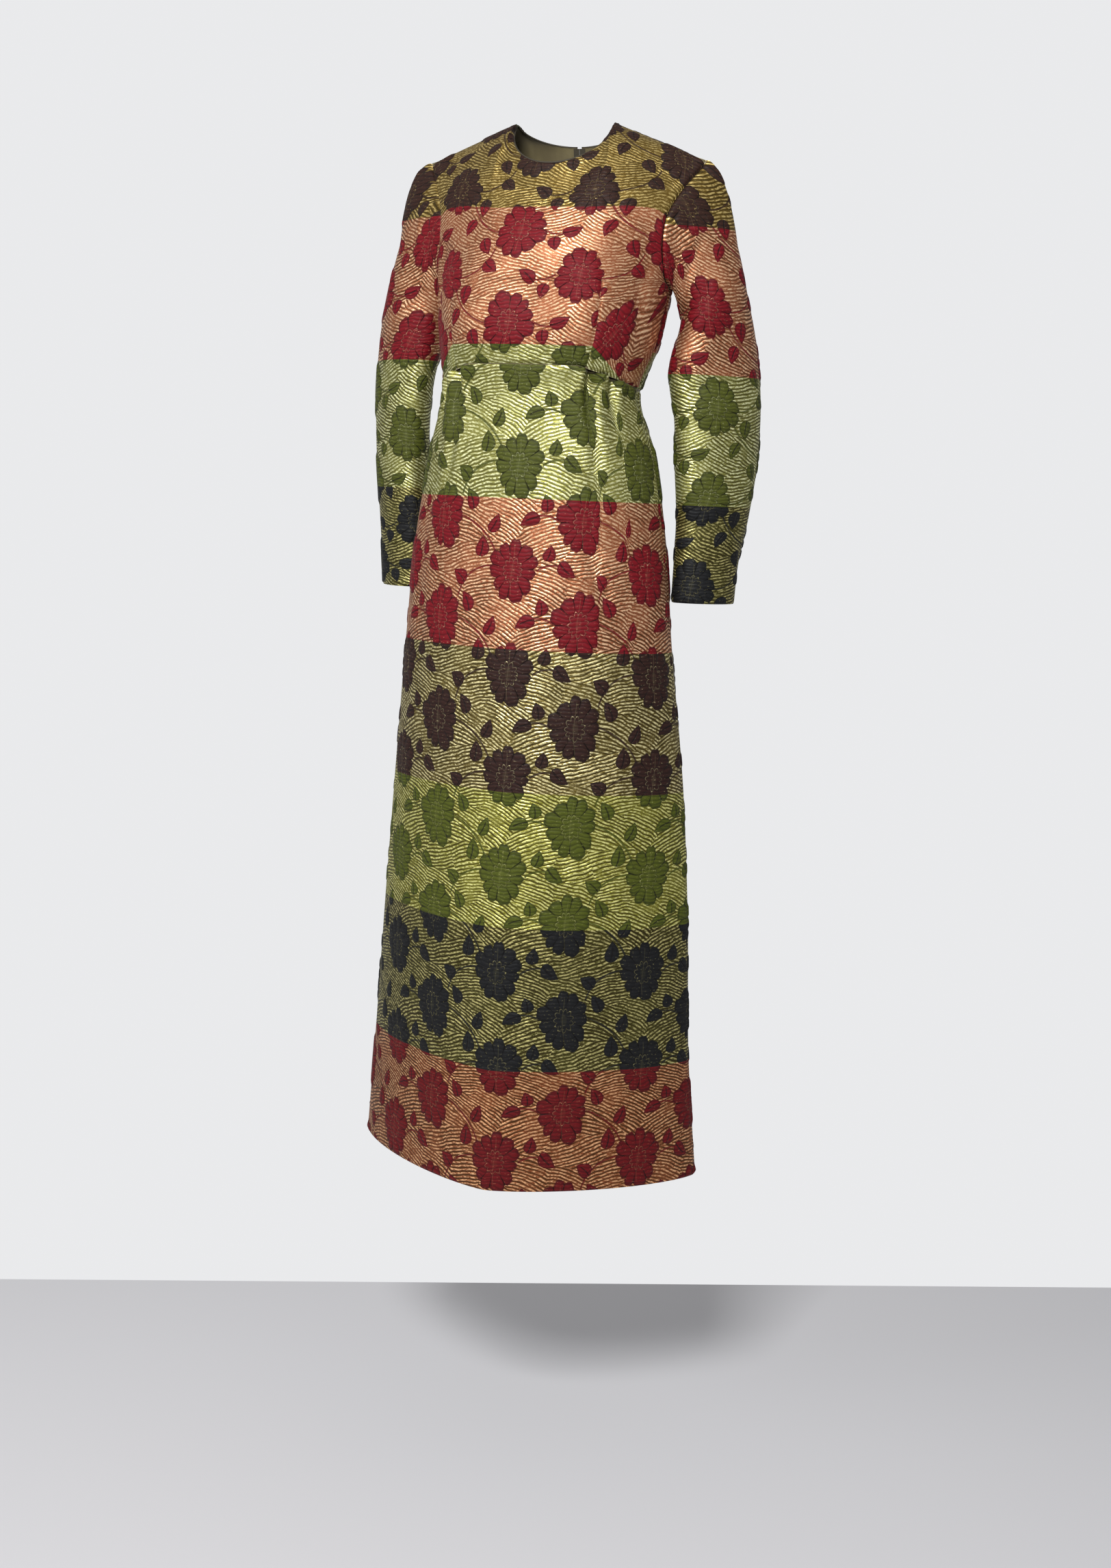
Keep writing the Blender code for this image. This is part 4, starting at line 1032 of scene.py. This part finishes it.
# Creases: across and down at each end, half width, height (below 0 a trough)
bodiceCreases = {
    0: ((0.158, 0.175, 0.120, 0.225, 0.007, -0.0009), (-0.150, 0.175, -0.118, 0.225, 0.007, -0.0009),
        (-0.146, 0.215, -0.125, 0.290, 0.009, 0.0008), (-0.160, 0.165, -0.165, 0.300, 0.011, -0.0050),
        (0.160, 0.170, 0.166, 0.300, 0.010, -0.0035), (0.075, 0.070, 0.120, 0.045, 0.007, -0.0006)),
    1: ((-0.120, 0.175, -0.060, 0.215, 0.008, -0.0011), (-0.110, 0.260, -0.030, 0.285, 0.009, 0.0009)),
    -1: ((0.125, 0.170, 0.070, 0.220, 0.008, -0.0010), (0.120, 0.275, 0.040, 0.262, 0.009, 0.0010)),
}
skirtCreases = {
    0: ((0.110, 0.420, 0.128, 0.640, 0.011, -0.0020), (-0.125, 0.430, -0.150, 0.720, 0.012, -0.0018),
        (0.180, 0.700, 0.205, 1.150, 0.020, 0.0016), (-0.060, 1.000, -0.078, 1.330, 0.024, 0.0014)),
    1: ((0.060, 0.420, 0.085, 0.760, 0.012, -0.0018), (0.150, 0.620, 0.190, 1.050, 0.018, 0.0016)),
    -1: ((-0.070, 0.400, -0.090, 0.690, 0.012, -0.0019), (-0.150, 0.700, -0.175, 1.120, 0.019, 0.0015)),
}
sleeveCreases = {
    1: ((-0.060, 0.150, -0.105, 0.215, 0.006, -0.0020), (-0.010, 0.330, -0.110, 0.352, 0.006, -0.0016),
        (-0.020, 0.372, -0.100, 0.380, 0.007, 0.0014), (-0.100, 0.520, -0.030, 0.529, 0.004, -0.0012),
        (-0.110, 0.546, -0.020, 0.541, 0.005, 0.0011), (-0.095, 0.563, -0.035, 0.571, 0.004, -0.0010),
        (0.070, 0.345, 0.130, 0.330, 0.007, -0.0016), (0.080, 0.210, 0.115, 0.170, 0.007, -0.0016)),
    -1: ((0.095, 0.125, 0.118, 0.205, 0.005, -0.0026), (0.060, 0.100, 0.085, 0.170, 0.007, 0.0018),
         (0.020, 0.322, 0.110, 0.345, 0.006, -0.0015), (0.030, 0.372, 0.120, 0.366, 0.007, 0.0013),
         (0.040, 0.530, 0.105, 0.538, 0.005, -0.0011), (-0.080, 0.335, -0.130, 0.350, 0.007, -0.0015)),
}


creaseForm = {"bow": 0.08, "ends": (0.12, 0.88), "seamRows": 6.0}


def creased(grid, place, creases, closed):  # moves the whole cloth in soft troughs and ridges
    move = np.zeros(grid.shape[:2])
    for x1, y1, x2, y2, half, height in creases:
        length = math.hypot(x2 - x1, y2 - y1)
        c, s = (x2 - x1) / length, (y2 - y1) / length
        x, y = place[..., 0] - x1, place[..., 1] - y1
        along = np.clip((x * c + y * s) / length, 0.0, 1.0)
        beside = (-x * s + y * c) - creaseForm["bow"] * length * np.sin(math.pi * along)
        beyond = (x * c + y * s) - along * length
        fading = np.sin(math.pi * mix(*creaseForm["ends"], along))
        move += height * bump1d(np.hypot(beside, beyond), half) * fading
    rows = np.arange(len(grid))[:, None]
    move = move * ease(np.minimum(rows, len(grid) - 1 - rows) / creaseForm["seamRows"])
    if not closed:
        columns = np.arange(grid.shape[1])[None, :]
        move = move * ease(np.minimum(columns, grid.shape[1] - 1 - columns) / creaseForm["seamRows"])
    return grid + gridNormals(grid, closed) * move[..., None]


# Depth and width of the turn at the empire seam, at the other edges and at the darts
seamEdge = (0.0019, 0.0028)
plainEdge = (0.0007, 0.0020)
dartEdge = (0.0012, 0.0020)


def finishPiece(name, node, grid, place, seen, ends, creases, materials, after=None, nearDart=None):
    closed = place.shape[1] > grid.shape[1]
    columns = grid.shape[1]
    fade, dips = edgeFades(grid, closed, ends)
    if nearDart is not None:
        fade = fade * ease(nearDart / 0.004)
        dips.append(seamDip(nearDart, *dartEdge) * ease((place[..., 1] - darts["top"]) / 0.01))
    relief = reliefAt(seen[:, :columns, 0], seen[:, :columns, 1]) * fade
    grid = creased(grid, place[:, :columns], creases, closed)
    normals = gridNormals(grid, closed)
    outer = grid + normals * (relief + sum(dips))[..., None]
    made = shellMesh(name, outer, grid - normals * form["wall"], seen, closed, after)
    for material in materials:
        made.data.materials.append(material)
    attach(made, "dress")
    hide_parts(node)
    print("made", name, len(made.data.polygons), "faces")
    return made, grid


def wholeOrHalf(values, side):  # the columns of half a piece as the whole front, or as one side of the back
    return side * values if side else np.concatenate((-values[:0:-1], values))


def fromRight(columns, side):
    return columns[:, ::-1].copy() if side > 0 else columns


darts = {"top": 0.205, "open": 0.78, "sides": (0.445, -0.55), "fallWidth": 0.060, "fallHigh": 0.115}


def dartCloth(place, arcs):  # the cloth without what the darts take away, seen from both sides of each column
    s, t = place[..., 0] + bodiceForm["lean"] * (place[..., 1] - bodiceForm["leanAt"]), place[..., 1]
    opened = np.maximum(0.0, t - darts["top"])
    index = np.arange(len(arcs))
    seen = []
    near = np.full(s.shape, 1.0)
    for later in (False, True):
        moved, fallen = s.copy(), t.copy()
        for dart in darts["sides"]:
            side = 1 if dart > 0 else -1
            column = int(np.argmin(np.abs(arcs - dart)))
            beyond = side * index >= side * column if later == (side > 0) else side * index > side * column
            distance = np.abs(s - s[:, column][:, None])
            taken = beyond * darts["open"]
            moved += side * taken * opened
            fallen -= taken * np.minimum(distance, darts["fallWidth"]) * ease(opened / darts["fallHigh"])
            near = np.minimum(near, np.where(opened > 0, distance, np.hypot(distance, t - darts["top"])))
        seen.append(turnedCloth(moved, fallen, "bodice"))
    return seen[0], seen[1], near


def bodicePiece(name, node, side, materials):  # side 0 is the front
    isFront = side == 0
    top, arcs = [wholeOrHalf(values, side) for values in bodiceColumns(isFront)]
    grid = bodiceSurface(isFront, top, arcs, clothSteps(bodiceForm["length"], bodiceForm["step"]))
    if side:
        openForZip(grid, side)
        grid = fromRight(grid, side)
    place = bodicePlaces(grid)
    seen, after, nearDart = turnedCloth(place[..., 0], place[..., 1], "bodice"), None, None
    if isFront:
        seen, after, nearDart = dartCloth(place, arcs)
    ends = (plainEdge, seamEdge)
    return finishPiece(name, node, grid, place, seen, ends, bodiceCreases[side], materials, after, nearDart)


# Cloth that the tucks take in: how much a metre above where they end, and where they lie on each side
swallowed = {"rate": 0.125, "until": 0.75, "blend": 0.012, "left": (0.50, 0.68), "right": (0.52, 0.69),
             "rightShare": 0.35}


def skirtCloth(place, isFront):
    s, t = place[..., 0], place[..., 1]
    if isFront:
        moved = s - skirtForm["shift"] - skirtForm["lean"] * ease((t - skirtForm["leanAt"]) / skirtForm["leanOver"])
        taken = swallowed["rate"] * np.maximum(0.0, swallowed["until"] - t)
        half = np.max(np.abs(s), axis=1)[:, None]
        for side, key, size in ((1, "left", 1.0), (-1, "right", swallowed["rightShare"])):
            for tuck in swallowed[key]:
                moved += side * size * 0.5 * taken * ease((side * s - tuck * half) / swallowed["blend"] + 0.5)
        s = moved
    return np.stack((s, warpDown(t, "skirt")), axis=-1)


def skirtPiece(name, node, side, materials):
    isFront = side == 0
    arcs = wholeOrHalf(clothSteps(skirtForm["half"], skirtForm["step"], fineStart=not isFront), side)
    grid, place = skirtSurface(isFront, arcs, clothSteps(skirtForm["length"], skirtForm["step"]))
    if side:
        openForZip(grid, side)
        grid, place = fromRight(grid, side), fromRight(place, side)
    seen = skirtCloth(place, isFront)
    return finishPiece(name, node, grid, place, seen, (seamEdge, plainEdge), skirtCreases[side], materials)


def sleevePiece(name, node, side, materials):
    grid = sleeveSurface(side)
    place = sleevePlaces(grid)
    seen = turnedCloth(place[..., 0], place[..., 1], name)
    return finishPiece(name, node, grid, place, seen, (plainEdge, plainEdge), sleeveCreases[side], materials)


groups = {"motifs": makeMotifGroup(), "ripples": makeRippleGroup(), "floats": makeFloatGroup()}
outsides = {kind: brocade(kind, groups) for kind in cloths}
lining = liningMaterial()
print("made the cloths", *cloths)
pieces, grids = {}, {}
for name, node, side, maker, kind in (
        ("bodiceFront", "bodice_front", 0, bodicePiece, "bodice"),
        ("bodiceBackLeft", "bodice_back_left", 1, bodicePiece, "bodice"),
        ("bodiceBackRight", "bodice_back_right", -1, bodicePiece, "bodice"),
        ("skirtFront", "skirt_front", 0, skirtPiece, "skirt"),
        ("skirtBackLeft", "skirt_back_left", 1, skirtPiece, "skirt"),
        ("skirtBackRight", "skirt_back_right", -1, skirtPiece, "skirt"),
        ("sleeveLeft", "sleeve_left", 1, sleevePiece, "sleeveLeft"),
        ("sleeveRight", "sleeve_right", -1, sleevePiece, "sleeveRight")):
    pieces[name], grids[name] = maker(name, node, side, (outsides[kind], lining))

brass = metalMaterial("agedBrass", (0.62, 0.47, 0.20), 0.28)
for name in ("zip_slider", "zip_pull"):
    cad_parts[name].data.materials.clear()
    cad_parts[name].data.materials.append(brass)
darkTape = twillMaterial("darkTape", (0.050, 0.040, 0.022))


def tubeMesh(name, path, radius, sides=10):  # a closed round roll along a path, with rounded ends
    along = unit(np.gradient(path, axis=0))
    beside = unit(np.cross(along, (0.0, 0.0, 1.0)))
    over = np.cross(beside, along)
    angle = 2 * math.pi * np.arange(sides) / sides
    rings = (path[:, None] + radius * (np.cos(angle)[None, :, None] * beside[:, None]
                                       + np.sin(angle)[None, :, None] * over[:, None]))
    points = np.concatenate((rings.reshape(-1, 3), path[:1] - along[:1] * radius * 0.4,
                             path[-1:] + along[-1:] * radius * 0.4))
    faces = []
    last = (len(path) - 1) * sides
    for j in range(sides):
        k = (j + 1) % sides
        for i in range(0, last, sides):
            faces.append((i + j, i + k, i + sides + k, i + sides + j))
        faces.append((len(points) - 2, k, j))
        faces.append((len(points) - 1, last + j, last + k))
    mesh = bpy.data.meshes.new(name)
    mesh.from_pydata(points, [], faces)
    mesh.shade_smooth()
    return addObject(name, mesh)


# The narrow rolled edge of the neck
neckForm = {"radius": 0.0013, "sink": 0.0009, "lift": 0.0004}

for name, neighbour in (("neckRollFront", "bodiceFront"), ("neckRollBackLeft", "bodiceBackLeft"),
                        ("neckRollBackRight", "bodiceBackRight")):
    grid = grids[neighbour]
    onNeck = np.abs(grid[0, :, 0]) <= form["neckHalf"] + 1e-4
    middle = (grid[0] - gridNormals(grid, False)[0] * neckForm["sink"])[onNeck]
    middle[:, 2] += neckForm["lift"]
    pieces[name] = tubeMesh(name, middle, neckForm["radius"])
    pieces[name].data.materials.append(darkTape)
    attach(pieces[name], "dress")
    print("made", name)

# The zip: closed teeth on two tapes
zipForm = {"pitch": 0.0019, "toothHalf": 0.0007, "toothReach": 0.0019, "toothDeep": 0.0006, "toothSink": 0.0007,
           "toothAside": 0.0008, "toothTaper": 0.7, "tapeGap": 0.00012, "tapeHalf": 0.0082, "tapeDeep": 0.0026,
           "tapeThick": 0.0004, "endGap": 0.002, "topGap": 0.001}


def zipPath():
    upper = (grids["bodiceBackLeft"][:, -1] + grids["bodiceBackRight"][:, 0]) / 2
    lower = (grids["skirtBackLeft"][:, -1] + grids["skirtBackRight"][:, 0]) / 2
    line = np.concatenate((upper[1:], lower[1:]))
    line = line[line[:, 2] > form["zipEndZ"] + zipForm["endGap"]]
    far = runs(line[None], 1)[0]
    steps = np.arange(0.0, far[-1], zipForm["pitch"])
    path = np.stack([np.interp(steps, far, line[:, k]) for k in range(3)], axis=1)
    along = unit(np.gradient(path, axis=0))
    return path, along, unit(np.stack((0 * along[:, 0], -along[:, 2], along[:, 1]), axis=1))


def boxAt(bm, centre, x, y, z, sizes, taper):  # a small block with its own directions, narrower outwards
    ends = []
    for depth, shrink in ((-1, 1.0), (1, taper)):
        for i, j in ((-1, -1), (1, -1), (1, 1), (-1, 1)):
            point = centre + x * sizes[0] * i * shrink + z * sizes[2] * j * shrink + y * sizes[1] * depth
            ends.append(bm.verts.new(point))
    for ring in ((0, 1, 2, 3), (7, 6, 5, 4), (0, 4, 5, 1), (1, 5, 6, 2), (2, 6, 7, 3), (3, 7, 4, 0)):
        bm.faces.new([ends[k] for k in ring])


def zipTeeth(bm, line):
    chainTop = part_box("zip_chain")[1][2]
    x = np.array((1.0, 0.0, 0.0))
    sizes = (zipForm["toothReach"] * 0.5, zipForm["toothDeep"], zipForm["toothHalf"])
    for i, (point, a, o) in enumerate(line):
        if point[2] < chainTop - zipForm["topGap"]:
            centre = point - o * zipForm["toothSink"] + x * (1 if i % 2 else -1) * zipForm["toothAside"]
            boxAt(bm, centre, x, o, a, sizes, zipForm["toothTaper"])


def zipTapes(bm, line):
    for side in (-1, 1):
        inner, outer = [np.array((side * zipForm[key], 0.0, 0.0)) for key in ("tapeGap", "tapeHalf")]
        rows = []
        for point, _, o in line:
            low = point - o * zipForm["tapeDeep"]
            high = low + o * zipForm["tapeThick"]
            rows.append([bm.verts.new(p) for p in (low + inner, low + outer, high + outer, high + inner)])
        for first, second in zip(rows[:-1], rows[1:]):
            for k in range(4):
                bm.faces.new((first[k], first[(k + 1) % 4], second[(k + 1) % 4], second[k]))
        bm.faces.new(rows[0])
        bm.faces.new(rows[-1][::-1])


zipLine = list(zip(*zipPath()))
for name, maker, material in (("zipTeeth", zipTeeth, brass), ("zipTapes", zipTapes, darkTape)):
    bm = bmesh.new()
    maker(bm, zipLine)
    bmesh.ops.recalc_face_normals(bm, faces=bm.faces)
    mesh = bpy.data.meshes.new(name)
    bm.to_mesh(mesh)
    mesh.materials.append(material)
    pieces[name] = addObject(name, mesh)
    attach(pieces[name], "dress")
    print("made", name, len(mesh.polygons), "faces")
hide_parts("zip_chain")

# Camera at the photo's viewing angle
view = {
    "from": (0.8350, -2.5466, -0.4820),
    "right": (0.94984, 0.31009, 0.04055),
    "up": (-0.08506, 0.13140, 0.98767),
    "forward": (-0.30094, 0.94158, -0.15119),
    "lens": 44.23,
}


def addCamera():
    data = bpy.data.cameras.new("camera")
    data.sensor_fit = "VERTICAL"
    data.sensor_height = 36.0
    data.lens = view["lens"]
    data.clip_end = 50
    camera = addObject("camera", data)
    back = [-value for value in view["forward"]]
    matrix = Matrix((view["right"], view["up"], back)).transposed().to_4x4()
    matrix.translation = Vector(view["from"])
    camera.matrix_world = matrix
    bpy.context.scene.camera = camera


studio = {
    "floorZ": -1.84,
    "corners": ((-6.0, -6.0), (6.0, -6.0), (6.0, 0.48), (-6.0, 0.48)),
    "turn": math.radians(22.4),
    "floor": (0.70, 0.695, 0.715),
    "room": (0.93, 0.935, 0.95),
    "shown": 0.88,
    "lighting": 0.38,
    # place, what it points at, size, power
    "lights": {
        "key": ((0.15, -2.6, 1.30), (0, 0, -0.55), (0.9, 0.9), 107),
        "fill": ((-2.4, -2.2, 0.2), (0, 0, -0.7), (1.5, 2.0), 18),
    },
}


def addStage():
    c, s = math.cos(studio["turn"]), math.sin(studio["turn"])
    mesh = bpy.data.meshes.new("floor")
    mesh.from_pydata([(x * c - y * s, x * s + y * c, studio["floorZ"]) for x, y in studio["corners"]],
                     [], [(0, 1, 2, 3)])
    material, tree, shader = newMaterial("paleFloor")
    feedNode(shader, {"Base Color": (*studio["floor"], 1), "Roughness": 0.7})
    mesh.materials.append(material)
    addObject("floor", mesh)
    world = bpy.data.worlds.new("softRoom")
    world.use_nodes = True
    tree = world.node_tree
    seen = Wire(addNode(tree, "LightPath").outputs["Is Camera Ray"])
    feedNode(tree.nodes["Background"], {
        "Color": (*studio["room"], 1),
        "Strength": seen * (studio["shown"] - studio["lighting"]) + studio["lighting"],
    })
    bpy.context.scene.world = world


def addLight(name, place, aim, size, power):
    data = bpy.data.lights.new(name, "AREA")
    data.shape = "RECTANGLE"
    data.size, data.size_y = size
    data.energy = power
    light = addObject(name, data)
    light.location = place
    light.rotation_euler = (Vector(aim) - Vector(place)).to_track_quat("-Z", "Y").to_euler()


addCamera()
addStage()
for name, settings in studio["lights"].items():
    addLight(name, *settings)
bpy.context.scene.view_settings.view_transform = "Standard"
print("made the camera, the stage and the lights")
